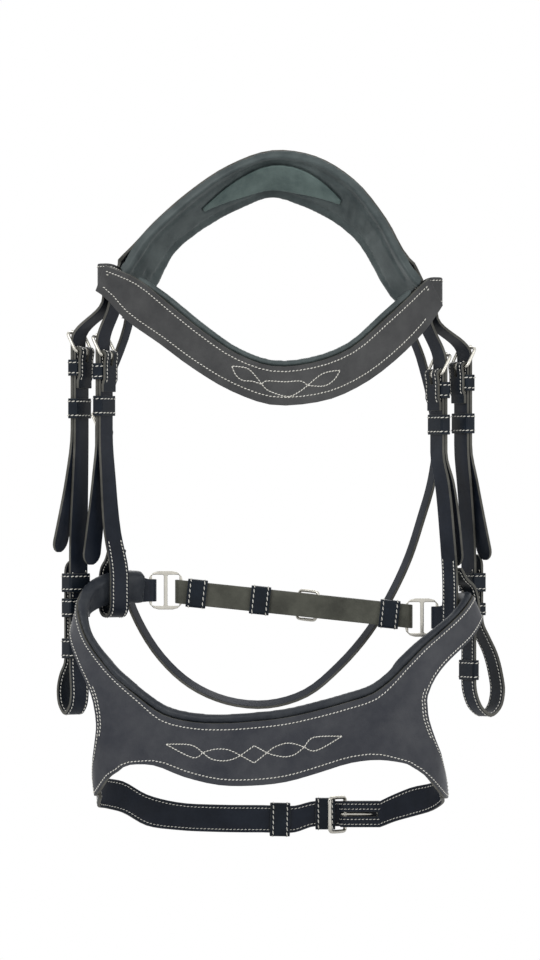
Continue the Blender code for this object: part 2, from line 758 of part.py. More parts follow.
def headpiece():
    left = at(LOOP_SHARES["left"])
    right = at(LOOP_SHARES["right"])
    above = {side: UP * (LOOP_HEIGHT + abs(slant) * CROWN_END_WIDTH) / 2 for side, slant in LOOP_SLANT.items()}
    below = DOWN * CROWN_OVERLAP
    left_end = rails(left, rearward(-1, STRAP_FACING), CROWN_END_WIDTH)
    right_end = rails(right, rearward(1, STRAP_FACING), CROWN_END_WIDTH)
    span = [(at(front), at(rear)) for front, rear in CROWN_SHARES]
    rows = [tuple(place + above["left"] for place in left_end)]
    rows += span
    rows.append(tuple(place + above["right"] for place in right_end))
    arch = smooth(rows, 4, UP, DOWN)
    full = [tuple(place + below for place in left_end)] + arch + [tuple(place + below for place in right_end)]
    sheet("crown_leather", [split(row, 4) for row in full], FACE_LEATHER, None)
    arch = [row[::-1] for row in arch]
    pad = [section(arch, i, PAD_OUTLINE) for i in range(PAD_SHORT, len(arch) - PAD_SHORT)]
    loft("poll_pad", pad, None, "lining")
    insert = []
    span = INSERT_LAST - INSERT_FIRST + 2
    for i in range(INSERT_FIRST, INSERT_LAST + 1):
        insert.append(lens_row(arch, i, sin(pi * (i - INSERT_FIRST + 1) / span)))
    loft("poll_insert", insert, None, "insert")


def split(row, parts):
    return [row[0].lerp(row[-1], i / parts) for i in range(parts + 1)]


PAD_OUTLINE = (
    (0, -PAD_ROLL, 0),
    (0, -PAD_ROLL, PAD_THICK),
    (0, PAD_ROLL / 2, PAD_THICK + PAD_ROLL / 2),
    (0, INSERT_INSET, PAD_THICK - PAD_ROLL / 3),
    (1, -INSERT_INSET, PAD_THICK - PAD_ROLL / 3),
    (1, -PAD_ROLL / 2, PAD_THICK + PAD_ROLL / 2),
    (1, PAD_ROLL, PAD_THICK),
    (1, PAD_ROLL, 0),
    (1, 2 * GAP, 0),
    (1, 2 * GAP, FACE_LEATHER / 2 + 2 * GAP),
    (0, -2 * GAP, FACE_LEATHER / 2 + 2 * GAP),
    (0, -2 * GAP, 0),
)


def local_axes(rows, i):
    """The direction from the first rail to the last, and the inward normal, at row i."""
    row = rows[i]
    v = (row[-1] - row[0]).normalized()
    ahead = rows[min(i + 1, len(rows) - 1)]
    behind = rows[max(i - 1, 0)]
    along = (ahead[0] + ahead[-1] - behind[0] - behind[-1]).normalized()
    inward = along.cross(v).normalized()
    return v, inward


def section(rows, i, outline):
    """A closed section: each point is (0 or 1 for the edge it is measured from, across, inward)."""
    v, inward = local_axes(rows, i)
    edges = (rows[i][0], rows[i][-1])
    return [edges[edge] + v * across + inward * depth for edge, across, depth in outline]


def lens_row(rows, i, share):
    v, inward = local_axes(rows, i)
    middle = (rows[i][0] + rows[i][-1]) / 2
    half = ((rows[i][-1] - rows[i][0]).length / 2 - 2 * INSERT_INSET) * share
    top = PAD_THICK - PAD_ROLL / 3 + 2 * GAP
    places = ((-half, top), (-half, top + INSERT_THICK), (half, top + INSERT_THICK), (half, top))
    return [middle + v * across + inward * depth for across, depth in places]


def brow_depth(across):
    half = abs(across)
    table = BROW_PLAN_SHARES
    for (x0, y0), (x1, y1) in zip(table, table[1:]):
        if half <= x1:
            break
    return y0 + (y1 - y0) * (half - x0) / (x1 - x0)


def browband(parent):
    rows = []
    for (top_across, top_down), (low_across, low_down) in BROW_SHARES:
        top = at((top_across, brow_depth(top_across), top_down))
        low = at((low_across, brow_depth(low_across), low_down))
        rows.append((top, low))
    full = smooth(rows, 3)
    sheet("browband_leather", [split(row, 2) for row in full], FACE_LEATHER, parent)
    under = FACE_LEATHER / 2 + 2 * GAP
    outline = (
        (0, -2 * GAP, -FACE_LEATHER / 4),
        (0, -BROW_ROLL * SHOULDER_SHARE, -FACE_LEATHER / 3),
        (0, -BROW_ROLL, BROW_PAD_THICK / 4),
        (0, -BROW_ROLL, BROW_PAD_THICK / 2),
        (0, -BROW_ROLL * SHOULDER_SHARE, BROW_PAD_THICK),
        (0, BROW_ROLL / 2, BROW_PAD_THICK + under),
        (1, -BROW_ROLL, BROW_PAD_THICK),
        (1, -BROW_ROLL / 4, BROW_PAD_THICK / 2),
        (1, -BROW_ROLL / 4, under),
        (0, -2 * GAP, under),
        (0, -2 * GAP, 0),
    )
    pad = [section(full, i, outline) for i in range(BROW_PAD_SHORT, len(full) - BROW_PAD_SHORT)]
    loft("browband_padding", pad, parent, "lining")
    for side in (LEFT, RIGHT):
        browband_loop(side, parent)


def browband_loop(side, parent):
    """A closed band of leather that the crown's end passes through, its edges in line with the browband's."""
    centre = at(LOOP_SHARES[side.name])
    normal = facing(side.sign, STRAP_FACING)
    across = normal.cross(UP)
    half = CROWN_END_WIDTH / 2 + LOOP_SLACK_ACROSS + LOOP_WALL / 2
    deep = FACE_LEATHER / 2 + GAP + LEATHER + LOOP_SLACK_DEEP + LOOP_WALL / 2
    outline = rounded(half, deep, LOOP_CORNER + LOOP_WALL / 2)
    mesh = bmesh.new()
    ring = []
    for a, n in outline:
        place = centre + across * a + normal * n
        ring.append(mesh.verts.new(place + UP * (LOOP_SLANT[side.name] * a - LOOP_HEIGHT / 2)))
    edges = [mesh.edges.new(pair) for pair in zip(ring, ring[1:] + ring[:1])]
    made = bmesh.ops.extrude_edge_only(mesh, edges=edges)["geom"]
    fresh = [item for item in made if isinstance(item, bmesh.types.BMVert)]
    bmesh.ops.translate(mesh, vec=UP * LOOP_HEIGHT, verts=fresh)
    thicken(f"browband_loop_{side.name}", mesh, LOOP_WALL, parent, "leather")


def loop_exit(side, shift, width):
    """How far below a loop's middle a strap is free of it: the loop's rear edge is the lower one."""
    rear = max(shift + width / 2, 0)
    return LOOP_HEIGHT / 2 + GAP + abs(LOOP_SLANT[side.name]) * rear


def billet_layer():
    return FACE_LEATHER / 2 + GAP + LEATHER / 2


def seat_of(side, name):
    return Seat(at(BAR_SHARES[f"{name}_{side.name}"]), side.sign)


def buckle_bodies(name, seat, width, parent):
    frame_wire(f"{name}_frame", seat, width, parent)
    hinge = body(f"{name}_tongue_body", seat.point(-2 * LAYER, 0), parent)
    tongue_wire(f"{name}_tongue", seat, hinge)


def cheek(side, parent):
    name = f"cheek_{side.name}"
    seat = seat_of(side, "cheek")
    billet(
        f"cheek_billet_{side.name}", side, seat, CHEEK_WIDTH, billet_layer(), -BILLET_OFFSET,
        TAIL_SHARES[name], parent,
    )
    buckle_bodies(name, seat, CHEEK_WIDTH, parent)
    slide = body(f"{name}_runner_body", seat.point(0, CHEEK_RUNNER_AT), parent)
    set_keepers(name, seat, CHEEK_WIDTH, CHEEK_RUNNER_AT, parent, slide)
    cheekpiece(side, seat, parent)


def cheekpiece(side, seat, parent):
    """The main strap, down from its chape, round the bit and up again to its tip."""
    table = CHEEK_SHARES[side.name]
    angle = radians(table[-1][3])
    normal = facing(side.sign, angle)
    across = seat_across(side, angle)
    foot = at(table[-1])
    rows = chape(seat, CHEEK_WIDTH, SET_LENGTH)
    lower = hung(side, table, CHEEK_WIDTH)
    rows += smooth([rows[-1]] + lower[:-1], 4, DOWN, DOWN)[1:]
    spacing = LEFT_RETURN if side is LEFT else RIGHT_RETURN
    loop = []
    for n, down in BIT_LOOP_SHARES[side.name]:
        loop.append(rails(bit_place(foot, normal, n * HEAD_DEPTH, down), across, CHEEK_WIDTH))
    start = BIT_LOOP_SHARES[side.name][-1][1]
    head = RETURN_TIP_SHARES[side.name]
    settled = start + (head - start) * RETURN_SETTLED_SHARE
    loop.append(rails(bit_place(foot, normal, spacing, settled), across, CHEEK_WIDTH))
    rows += smooth(lower[-1:] + loop, 4, DOWN, UP)
    rows.append(rails(bit_place(foot, normal, spacing, head), across, CHEEK_WIDTH))
    rows += tip(bit_place(foot, normal, spacing, head), across, UP, CHEEK_WIDTH)[1:]
    item = sheet(f"cheekpiece_{side.name}", rows, LEATHER, parent)
    stud_at = bit_place(foot, normal, spacing, STUD_SHARES[side.name])
    slot = cutter(f"stud_slot_{side.name}", frame_at(stud_at, normal), (SLOT_WIDTH, 2 * LEATHER, 2 * SLOT_WIDTH))
    cut(item, [chape_slot(f"cheek_slot_{side.name}", seat), slot])
    hook_stud(side, foot, normal, spacing, parent)
    for place, (low, high) in zip(("upper", "middle", "lower"), BIT_KEEPER_SHARES[side.name]):
        both = not (side is RIGHT and place == "lower")
        top = (spacing if both else 0) + LEATHER / 2 + GAP
        centre = bit_place(foot, normal, 0, (low + high) / 2)
        keeper(
            f"bit_keeper_{place}_{side.name}", frame_at(centre, normal), CHEEK_WIDTH / 2 + GAP,
            -LEATHER / 2 - GAP, top, (high - low) * HEAD_HEIGHT, parent,
        )


def bit_place(foot, normal, n, down):
    place = foot + normal * n
    place.z = at((0, 0, down)).z
    return place


def hook_stud(side, foot, normal, spacing, parent):
    """The small hook that holds the bit loop shut: a foot on the main strap and a head outside the return."""
    down = STUD_SHARES[side.name]
    near = LEATHER / 2 + GAP + STUD_WIRE
    far = spacing + LEATHER / 2 + GAP + STUD_WIRE
    middle = bit_place(foot, normal, 0, down)
    run = (
        middle + normal * near + UP * STUD_FOOT / 2,
        middle + normal * near,
        middle + normal * far,
        middle + normal * far + DOWN * STUD_HEAD / 2,
    )
    wire(f"hook_stud_{side.name}", run, STUD_WIRE, parent)


def hanger(side, parent):
    name = f"hanger_{side.name}"
    seat = seat_of(side, "hanger")
    billet(
        f"nose_billet_{side.name}", side, seat, HANGER_WIDTH, -billet_layer(), -BILLET_OFFSET,
        TAIL_SHARES[name], parent,
    )
    buckle_bodies(f"nose_{side.name}", seat, HANGER_WIDTH, parent)
    slide = body(f"nose_{side.name}_runner_body", seat.point(0, HANGER_RUNNER_AT), parent)
    set_keepers(f"nose_{side.name}", seat, HANGER_WIDTH, HANGER_RUNNER_AT, parent, slide)
    table = HANGER_SHARES[side.name]
    angle = radians(table[-1][3])
    normal = facing(side.sign, angle)
    across = seat_across(side, angle)
    centre = at(CROSSING_SHARES[side.name])
    rows = chape(seat, HANGER_WIDTH, SET_LENGTH)
    loop = [
        rails(centre + normal * n * HEAD_DEPTH + UP * z * HEAD_HEIGHT, across, HANGER_WIDTH)
        for n, z in HANGER_LOOP_SHARES[side.name]
    ]
    rows += smooth([rows[-1]] + hung(side, table, HANGER_WIDTH) + loop, 4, DOWN)[1:]
    item = sheet(name, rows, LEATHER, parent)
    cut(item, [chape_slot(f"hanger_slot_{side.name}", seat)])


def ring_bar(side, outer):
    """The middle of a ring's outer or inner upright."""
    centre = at(RING_SHARES[side.name])
    reach = (RING_LENGTH - RING_BAR) / 2
    return centre + Vector((side.sign * reach * (1 if outer else -1), 0, 0))


def arm_fold(side):
    """The arm's end, round the outer upright of its ring and back, as rails."""
    bar = ring_bar(side, True)
    rows = []
    for step in range(9):
        angle = pi * step / 8
        centre = bar + Vector((-side.sign * sin(angle) * RING_FOLD, -cos(angle) * RING_FOLD, 0))
        rows.append(rails(centre, DOWN, ARM_END_WIDTH))
    back = RING_FOLD + LAP
    rows.append(rails(bar + Vector((side.sign * back / 2, RING_FOLD / 2, 0)), DOWN, ARM_END_WIDTH))
    return rows


def three(row):
    return (row[0], (row[0] + row[1]) / 2, row[1])


def noseband(parent):
    left_arm = [(at(a), at(b)) for a, b in ARM_LEFT_SHARES]
    right_arm = [(at(a), at(b)) for a, b in ARM_RIGHT_SHARES]
    left_fold = arm_fold(LEFT)
    right_fold = arm_fold(RIGHT)
    columns = panel_columns()
    upper = [three(row) for row in left_fold[:1] + left_arm] + [column[:3] for column in columns]
    upper += [three(row) for row in right_arm + right_fold[:1]]
    lower = [three((at(a), at(b))) for a, b in CHIN_LEFT_SHARES] + [column[4:] for column in columns]
    lower += [three((at(a), at(b))) for a, b in CHIN_RIGHT_SHARES]
    middle = [(column[3],) for column in columns]
    steps = 3
    across = Vector((-1, 0, 0))
    top = smooth([tuple(row) for row in upper], steps, across, across)
    bottom = smooth([tuple(row) for row in lower], steps)
    waist = smooth(middle, steps)
    first_top = steps * (len(left_arm) + 1)
    first_low = steps * len(CHIN_LEFT_SHARES)
    count = len(waist)
    mesh = bmesh.new()
    body_rows = [top[first_top + i] + waist[i] + bottom[first_low + i] for i in range(count)]
    start = first_line(mesh, body_rows[0])
    end = grow(mesh, start, body_rows[1:])
    left_folded = [three(row) for row in left_fold[1:]]
    right_folded = [three(row) for row in right_fold[1:]]
    grow(mesh, start[:3], top[:first_top][::-1] + left_folded)
    grow(mesh, end[:3], top[first_top + count:] + right_folded)
    grow(mesh, start[4:], bottom[:first_low][::-1])
    grow(mesh, end[4:], bottom[first_low + count:])
    thicken("noseband_leather", mesh, FACE_LEATHER, parent, "leather")
    nose_padding(top, body_rows, first_top, count, parent)


def panel_columns():
    columns = []
    last = len(PANEL_SHARES) - 1
    for i, (top_share, low_share) in enumerate(PANEL_SHARES):
        top = at(top_share)
        low = at((low_share[0], top_share[1] + -PANEL_LEAN_SHARE, low_share[1]))
        column = [top.lerp(low, share) for share in ROW_SHARES]
        if i in (0, last):
            waist = [at(share) for share in (WAIST_LEFT_SHARES if i == 0 else WAIST_RIGHT_SHARES)]
            column[2:5] = waist
            column[1] = (top + waist[0]) / 2
            column[5] = (waist[2] + low) / 2
        columns.append(tuple(column))
    return columns


def nose_padding(top, body_rows, first_top, count, parent):
    """One soft lining, rolled over the top edge in front, and a fuller pad along each jaw."""
    sections = []
    last = len(top) - 1
    for i in range(JAW_PAD_SHORT, last - JAW_PAD_SHORT + 1):
        j = i - first_top
        row = top[i]
        if JAW_PAD_SHORT <= j < count - JAW_PAD_SHORT:
            row = (body_rows[j][0], body_rows[j][-1])
        elif 0 <= j < count:
            row = (body_rows[j][0], body_rows[j][2])
        beyond = max(-j, j - count + 1, 0)
        roll = JAW_ROLL + (NOSE_ROLL - JAW_ROLL) * max(1 - beyond / ROLL_FADE, 0)
        near = top[max(i - 1, 0)][0]
        far = top[min(i + 1, last)][0]
        v = (row[-1] - row[0]).normalized()
        inward = (far - near).cross(v).normalized()
        sections.append(pad_section(row[0], v, inward, (row[-1] - row[0]).length, roll))
    loft("noseband_padding", sections, parent, "lining")


def pad_section(edge, v, inward, height, roll):
    under = FACE_LEATHER / 2 + 2 * GAP
    thick = NOSE_PAD_THICK
    outline = (
        (-2 * GAP, -FACE_LEATHER / 4),
        (-roll * SHOULDER_SHARE, -FACE_LEATHER / 3),
        (-roll, thick * FLANK_SHARE),
        (-roll, thick * SHOULDER_SHARE),
        (-roll * SHOULDER_SHARE, thick),
        (0, thick + under),
        (height - 2 * GAP, thick * FOOT_SHARE + under),
        (height + 2 * GAP, thick / 2),
        (height, under),
        (height / 2, under),
        (-2 * GAP, under),
        (-2 * GAP, 0),
    )
    return [edge + v * across + inward * depth for across, depth in outline]


def jaw_ring(side, parent):
    centre = at(RING_SHARES[side.name])
    frame = Matrix.Translation(centre) @ Matrix.Rotation(pi / 2, 4, "X")
    outer = rounded(RING_LENGTH / 2, RING_HEIGHT / 2, RING_CORNER)
    window = (RING_LENGTH - 3 * RING_BAR) / 4
    height = RING_HEIGHT / 2 - RING_BAR
    middle = window + RING_BAR / 2
    left = rounded(window, height, RING_WINDOW_CORNER, (-middle, 0))
    right = rounded(window, height, RING_WINDOW_CORNER, (middle, 0))
    plate(f"jaw_ring_{side.name}", frame, (outer, left, right), RING_THICK, parent, "metal")


def crank_level(x):
    """The height of the rear strap's middle, on a straight line between the rings."""
    left = at(RING_SHARES["left"])
    right = at(RING_SHARES["right"])
    return left.z + (right.z - left.z) * (x - left.x) / (right.x - left.x)


def crank_row(x, y):
    return rails(Vector((x, y, crank_level(x))), DOWN, CRANK_WIDTH)


def rear_strap(parent):
    """One strap: its chape, the right ring, the front layer, the left ring and the billet through the buckle."""
    front = at(RING_SHARES["left"]).y - RING_FOLD
    plane = front + 4 * LAYER
    x_bar = CRANK_BAR_SHARE * HEAD_ACROSS
    normal = Vector((0, 1, 0))
    slope = Vector((1, 0, crank_level(1) - crank_level(0))).normalized()
    seat = Seat(Vector((x_bar, plane, crank_level(x_bar))), 1, slope, normal)
    rows = [seat.rails(n, u, CRANK_WIDTH) for n, u in crank_chape()]
    right = ring_bar(RIGHT, False)
    left = ring_bar(LEFT, False)
    rows += [end_row(right, 1, pi * step / 8) for step in range(9)]
    rows += [end_row(left, -1, pi * step / 8) for step in range(9)]
    swing = [rows[-1], seat.rails(0, -2 * BILLET_STRAIGHT, CRANK_WIDTH)]
    rows += smooth(swing, 5, slope, slope)[1:]
    tail = CRANK_TIP_SHARE * HEAD_ACROSS - x_bar - TIP_LENGTH
    rows.append(seat.rails(0, tail, CRANK_WIDTH))
    rows += tip(seat.point(0, tail), seat.across, slope, CRANK_WIDTH)[1:]
    item = sheet("crank_strap", rows, LEATHER, parent)
    both = cutter(
        "crank_slot", seat.frame(-3 * LAYER / 2, (CHAPE_SLOT_AHEAD - CHAPE_SLOT_BACK) / 2),
        (SLOT_WIDTH, 4 * LAYER, CHAPE_SLOT_BACK + CHAPE_SLOT_AHEAD),
    )
    cut(item, [both])
    frame_wire("crank_frame", seat, CRANK_WIDTH, parent)
    hinge = body("crank_tongue_body", seat.point(-2 * LAYER, 0), parent)
    tongue_wire("crank_tongue", seat, hinge)
    for number, share in enumerate(CRANK_KEEPER_SHARES):
        x = share * HEAD_ACROSS
        low = -4 * LAYER - LEATHER / 2 - CRANK_SLACK
        spread = CRANK_SPREAD_SHARES[number]
        reach = (2 * RING_FOLD - 4 * LAYER) * (1 - spread)
        high = reach + LEATHER / 2 + CRANK_SLACK
        frame = frame_at(Vector((x, plane, crank_level(x))), normal, -slope)
        keeper(f"crank_keeper_{number + 1}", frame, CRANK_WIDTH / 2 + GAP, low, high, CRANK_KEEPER, parent)


def crank_chape():
    run = [
        (-3 * LAYER, CHAPE_LENGTH),
        (-3 * LAYER, CHAPE_SLOT_AHEAD),
    ]
    run += bar_arc(-2 * LAYER, LAYER, 0, pi, 8)
    run += [(-LAYER, CHAPE_SLOT_AHEAD), (-LAYER, CHAPE_LENGTH + LAP)]
    return run


def end_row(bar, sign, angle):
    """A row round a ring's inner upright. The right one is met from behind, the left one from in front."""
    centre = bar + Vector((sign * sin(angle) * RING_FOLD, sign * cos(angle) * RING_FOLD, 0))
    centre.z = crank_level(centre.x)
    return rails(centre, UP, CRANK_WIDTH)


def chin(parent):
    normal = Vector((0, -1, 0))
    along = Vector((1, 0, 0))
    seat = Seat(at(CHIN_BAR_SHARES), 1, along, normal)
    right = [(at(a), at(b)) for a, b in DROP_RIGHT_SHARES]
    flat = seat.rails(LAYER, CHIN_SLOT_AHEAD, DROP_WIDTH)
    rows = smooth(right + [flat], 4)
    arc = bar_arc(0, LAYER, pi, 0, 8)
    arc += [(-LAYER, CHIN_SLOT_AHEAD)]
    rows += [seat.rails(n, u, DROP_WIDTH) for n, u in arc]
    item = sheet("drop_strap_right", rows, LEATHER, parent)
    length = CHAPE_SLOT_BACK + CHIN_TONGUE + WIRE
    size = (SLOT_WIDTH, FOLDED, length)
    slot = cutter("drop_slot", seat.frame(LAYER, length / 2 - CHAPE_SLOT_BACK), size)
    near = cutter("drop_slot_behind", seat.frame(-LAYER, 0), (SLOT_WIDTH, FOLDED, 2 * CHAPE_SLOT_BACK))
    cut(item, [slot, near])
    chin_buckle(seat, parent)
    drop_left(seat, parent)


def chin_buckle(seat, parent):
    hinge = body("drop_frame_body", seat.point(0, 0), parent)
    half = DROP_WIDTH / 2 + 2 * FRAME_SLACK + CHIN_WIRE
    points = []
    for across, along in rounded(half, CHIN_FRAME_LENGTH / 2, FRAME_CORNER):
        reach = along + CHIN_FRAME_LENGTH / 2
        points.append(seat.point(reach * sin(CHIN_FRAME_TILT), -reach * cos(CHIN_FRAME_TILT), across))
    wire("drop_frame", points, CHIN_WIRE, hinge, cyclic=True)
    tongue = body("drop_tongue_body", seat.point(0, 0), parent)
    bend = CHIN_WIRE + GAP + TONGUE_WIRE
    run = [(n, u) for n, u in bar_arc(0, bend, -pi / 2, pi, 10)]
    run += [(bend, CHIN_TONGUE / 2), (bend, CHIN_TONGUE - CHIN_WIRE)]
    wire("drop_tongue", [seat.point(n, u) for n, u in run], TONGUE_WIRE, tongue)


def drop_left(seat, parent):
    rows = [(at(a), at(b)) for a, b in DROP_LEFT_SHARES]
    behind = -FOLDED
    x_end = CHIN_TAIL_SHARE * HEAD_ACROSS - at(CHIN_BAR_SHARES).x
    start = seat.point(behind, -CHIN_RUN_IN)
    finish_at = seat.point(behind, x_end)
    narrow = DROP_WIDTH - LEATHER / 4
    rows.append(rails(start, DOWN, narrow))
    made = smooth(rows, 4, None, Vector((1, 0, 0)))
    made.append(rails(finish_at, DOWN, narrow))
    made += tip(finish_at, DOWN, Vector((1, 0, 0)), narrow)[1:]
    sheet("drop_strap_left", made, LEATHER, parent)
    for number, share in enumerate(CHIN_KEEPER_SHARES):
        x = share * HEAD_ACROSS
        before = [row for row in made if row[0].x < x and row[0].y > 0][-1]
        after = [row for row in made if row[0].x > x][0]
        low = (before[0] + before[1]) / 2
        high = (after[0] + after[1]) / 2
        along = (high - low).normalized()
        middle = low + along * (x - low.x) / along.x
        normal = (before[1] - before[0]).cross(along).normalized()
        half = (before[0] - before[1]).length / 2 + 3 * GAP
        deep = LEATHER / 2 + 3 * GAP
        frame = frame_at(middle, normal, along)
        keeper(f"drop_keeper_{number + 1}", frame, half, -deep, deep, CHIN_KEEPER, parent)


def throatlatch(parent):
    loop = at(LOOP_SHARES["right"])
    top = loop - facing(1, STRAP_FACING) * billet_layer() + rearward(1, STRAP_FACING) * THROAT_OFFSET
    out = loop_exit(RIGHT, THROAT_OFFSET, THROAT_WIDTH)
    first = rearward(1, STRAP_FACING)
    rows = [rails(top + UP * CROWN_OVERLAP, first, THROAT_WIDTH)]
    seat = seat_of(LEFT, "throat")
    path = [(top + DOWN * out, first)] + [(at(place), Vector(lean)) for place, lean in THROAT_SHARES]
    foot = seat.point(-LAYER, THROAT_SET_LENGTH)
    path.append((foot, seat.across))
    run = []
    for i, (place, lean) in enumerate(path):
        ahead = path[min(i + 1, len(path) - 1)][0]
        behind = path[max(i - 1, 0)][0]
        along = (ahead - behind).normalized()
        across = (lean - along * lean.dot(along)).normalized()
        if i in (0, len(path) - 1):
            across = lean.normalized()
        run.append(rails(place, across, THROAT_WIDTH))
    rows += smooth(run, 4, DOWN, UP)
    rows += chape(seat, THROAT_WIDTH, THROAT_SET_LENGTH)[::-1][1:]
    item = sheet("throatlatch", rows, LEATHER, parent)
    cut(item, [chape_slot("throat_slot", seat)])
    billet(
        "throat_billet", LEFT, seat, THROAT_WIDTH, -billet_layer(), THROAT_OFFSET, None, parent,
        straight=THROAT_SET_LENGTH - TIP_LENGTH,
    )
    buckle_bodies("throat", seat, THROAT_WIDTH, parent)


def main():
    clear_scene()
    left = at(LOOP_SHARES["left"])
    right = at(LOOP_SHARES["right"])
    middle = (left + right) / 2
    headpiece()
    browband(body("browband_body", middle))
    for side in (LEFT, RIGHT):
        cheek(side, body(f"cheek_{side.name}_body", at(LOOP_SHARES[side.name])))
    hangers = body("hangers_body", middle)
    for side in (LEFT, RIGHT):
        hanger(side, hangers)
    crossings = (at(CROSSING_SHARES["left"]) + at(CROSSING_SHARES["right"])) / 2
    nose = body("noseband_body", crossings, hangers)
    noseband(nose)
    for side in (LEFT, RIGHT):
        jaw_ring(side, nose)
    rear_strap(nose)
    chin(nose)
    throatlatch(body("throatlatch_body", middle))


main()
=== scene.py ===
"""A horse bridle in black leather with cream stitching, hung by its padded headpiece.

Every strap of the frame is given round, waxed leather edges and its own stitches, every padding is blown
up from its frame solid and sewn down, and the buckles and rings are polished nickel.
"""

import json
from math import cos, pi, radians, sin

import bmesh
import bpy
from mathutils import Matrix, Vector
from mathutils.bvhtree import BVHTree
from mathutils.kdtree import KDTree

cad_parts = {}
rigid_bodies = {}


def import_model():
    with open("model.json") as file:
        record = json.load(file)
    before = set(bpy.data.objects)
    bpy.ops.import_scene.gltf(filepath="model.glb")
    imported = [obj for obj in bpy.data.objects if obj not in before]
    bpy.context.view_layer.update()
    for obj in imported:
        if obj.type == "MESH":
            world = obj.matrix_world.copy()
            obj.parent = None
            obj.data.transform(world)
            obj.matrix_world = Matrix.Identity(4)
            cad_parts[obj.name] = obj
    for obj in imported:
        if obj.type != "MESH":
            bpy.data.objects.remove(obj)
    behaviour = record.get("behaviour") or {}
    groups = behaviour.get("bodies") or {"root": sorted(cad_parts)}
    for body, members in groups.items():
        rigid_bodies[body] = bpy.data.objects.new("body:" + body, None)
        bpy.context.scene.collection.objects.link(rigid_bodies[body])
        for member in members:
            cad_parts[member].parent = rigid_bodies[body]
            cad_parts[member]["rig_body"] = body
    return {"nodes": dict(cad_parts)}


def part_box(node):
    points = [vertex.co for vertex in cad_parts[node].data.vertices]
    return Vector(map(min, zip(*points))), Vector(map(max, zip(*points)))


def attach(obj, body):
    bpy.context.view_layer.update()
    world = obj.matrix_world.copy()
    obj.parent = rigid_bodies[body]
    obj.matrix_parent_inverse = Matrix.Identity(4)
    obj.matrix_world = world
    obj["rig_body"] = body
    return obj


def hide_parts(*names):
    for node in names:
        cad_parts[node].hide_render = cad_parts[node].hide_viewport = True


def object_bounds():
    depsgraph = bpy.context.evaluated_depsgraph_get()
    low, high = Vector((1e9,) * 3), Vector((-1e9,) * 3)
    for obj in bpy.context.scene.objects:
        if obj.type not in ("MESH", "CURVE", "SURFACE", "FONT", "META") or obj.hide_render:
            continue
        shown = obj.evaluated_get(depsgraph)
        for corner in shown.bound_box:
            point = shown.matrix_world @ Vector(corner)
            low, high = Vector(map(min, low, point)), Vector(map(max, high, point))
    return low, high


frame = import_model()
cad_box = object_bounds()
scene = bpy.context.scene
nodes = frame["nodes"]
head_middle = (cad_box[0] + cad_box[1]) / 2

# Crown: one wide strap of waxed bridle leather that goes over the poll. Its grain side is outside, its edges
# are rounded and painted a pale olive-grey as a painted highlight, and a line of stitches near each edge
# holds the padding under it.
WELD = 0.00002
SHARP = radians(38)
CUT_EDGE_MOST = 0.0045
EDGE_ROUND = 0.00055
FLAT = radians(0.25)
KEEPER_ROUND = 0.030
STRAP_ROUND = 0.090
STITCH_PITCH = 0.0030
STITCH_LENGTH = 0.0023
THREAD = 0.00088
THREAD_SUNK = 0.12
THREAD_SLANT = radians(11)
TURN_LEAST = 0.35
HALF_WAY = 0.5
EDGE_STEPS = 2
GRAIN, CUT_EDGE, FLESH = 0, 1, 2


def texture(material, kind, **settings):
    """A new node in the material, with its sockets and its options set by name."""
    node = material.node_tree.nodes.new(kind)
    for key, value in settings.items():
        if key in node.inputs:
            node.inputs[key].default_value = value
        else:
            setattr(node, key, value)
    return node


def wire_up(material, source, target):
    material.node_tree.links.new(source, target)


def finish_of(name):
    """A material, its shader and the object coordinates that its patterns follow."""
    material = bpy.data.materials.new(name)
    material.use_nodes = True
    place = texture(material, "ShaderNodeTexCoord").outputs["Object"]
    return material, material.node_tree.nodes["Principled BSDF"], place


def mottled(material, place, scale, low, high, target, detail=4.0):
    """A value that wanders between low and high."""
    noise = texture(material, "ShaderNodeTexNoise", Scale=scale, Detail=detail, Roughness=0.6)
    span = texture(material, "ShaderNodeMapRange")
    span.inputs["From Min"].default_value = 0.32
    span.inputs["From Max"].default_value = 0.68
    span.inputs["To Min"].default_value = low
    span.inputs["To Max"].default_value = high
    wire_up(material, place, noise.inputs["Vector"])
    wire_up(material, noise.outputs["Fac"], span.inputs["Value"])
    wire_up(material, span.outputs["Result"], target)


def mottled_colour(material, place, scale, dark, light, target):
    noise = texture(material, "ShaderNodeTexNoise", Scale=scale, Detail=5.0, Roughness=0.62)
    ramp = texture(material, "ShaderNodeValToRGB")
    ramp.color_ramp.elements[0].position = 0.34
    ramp.color_ramp.elements[0].color = (*dark, 1)
    ramp.color_ramp.elements[1].position = 0.68
    ramp.color_ramp.elements[1].color = (*light, 1)
    wire_up(material, place, noise.inputs["Vector"])
    wire_up(material, noise.outputs["Fac"], ramp.inputs["Fac"])
    wire_up(material, ramp.outputs["Color"], target)


def relief(material, heights, target):
    """Bumps laid on each other: (height socket, strength, depth in metres)."""
    normal = None
    for height, strength, depth in heights:
        bump = texture(material, "ShaderNodeBump", Strength=strength, Distance=depth)
        wire_up(material, height, bump.inputs["Height"])
        if normal:
            wire_up(material, normal, bump.inputs["Normal"])
        normal = bump.outputs["Normal"]
    wire_up(material, normal, target)


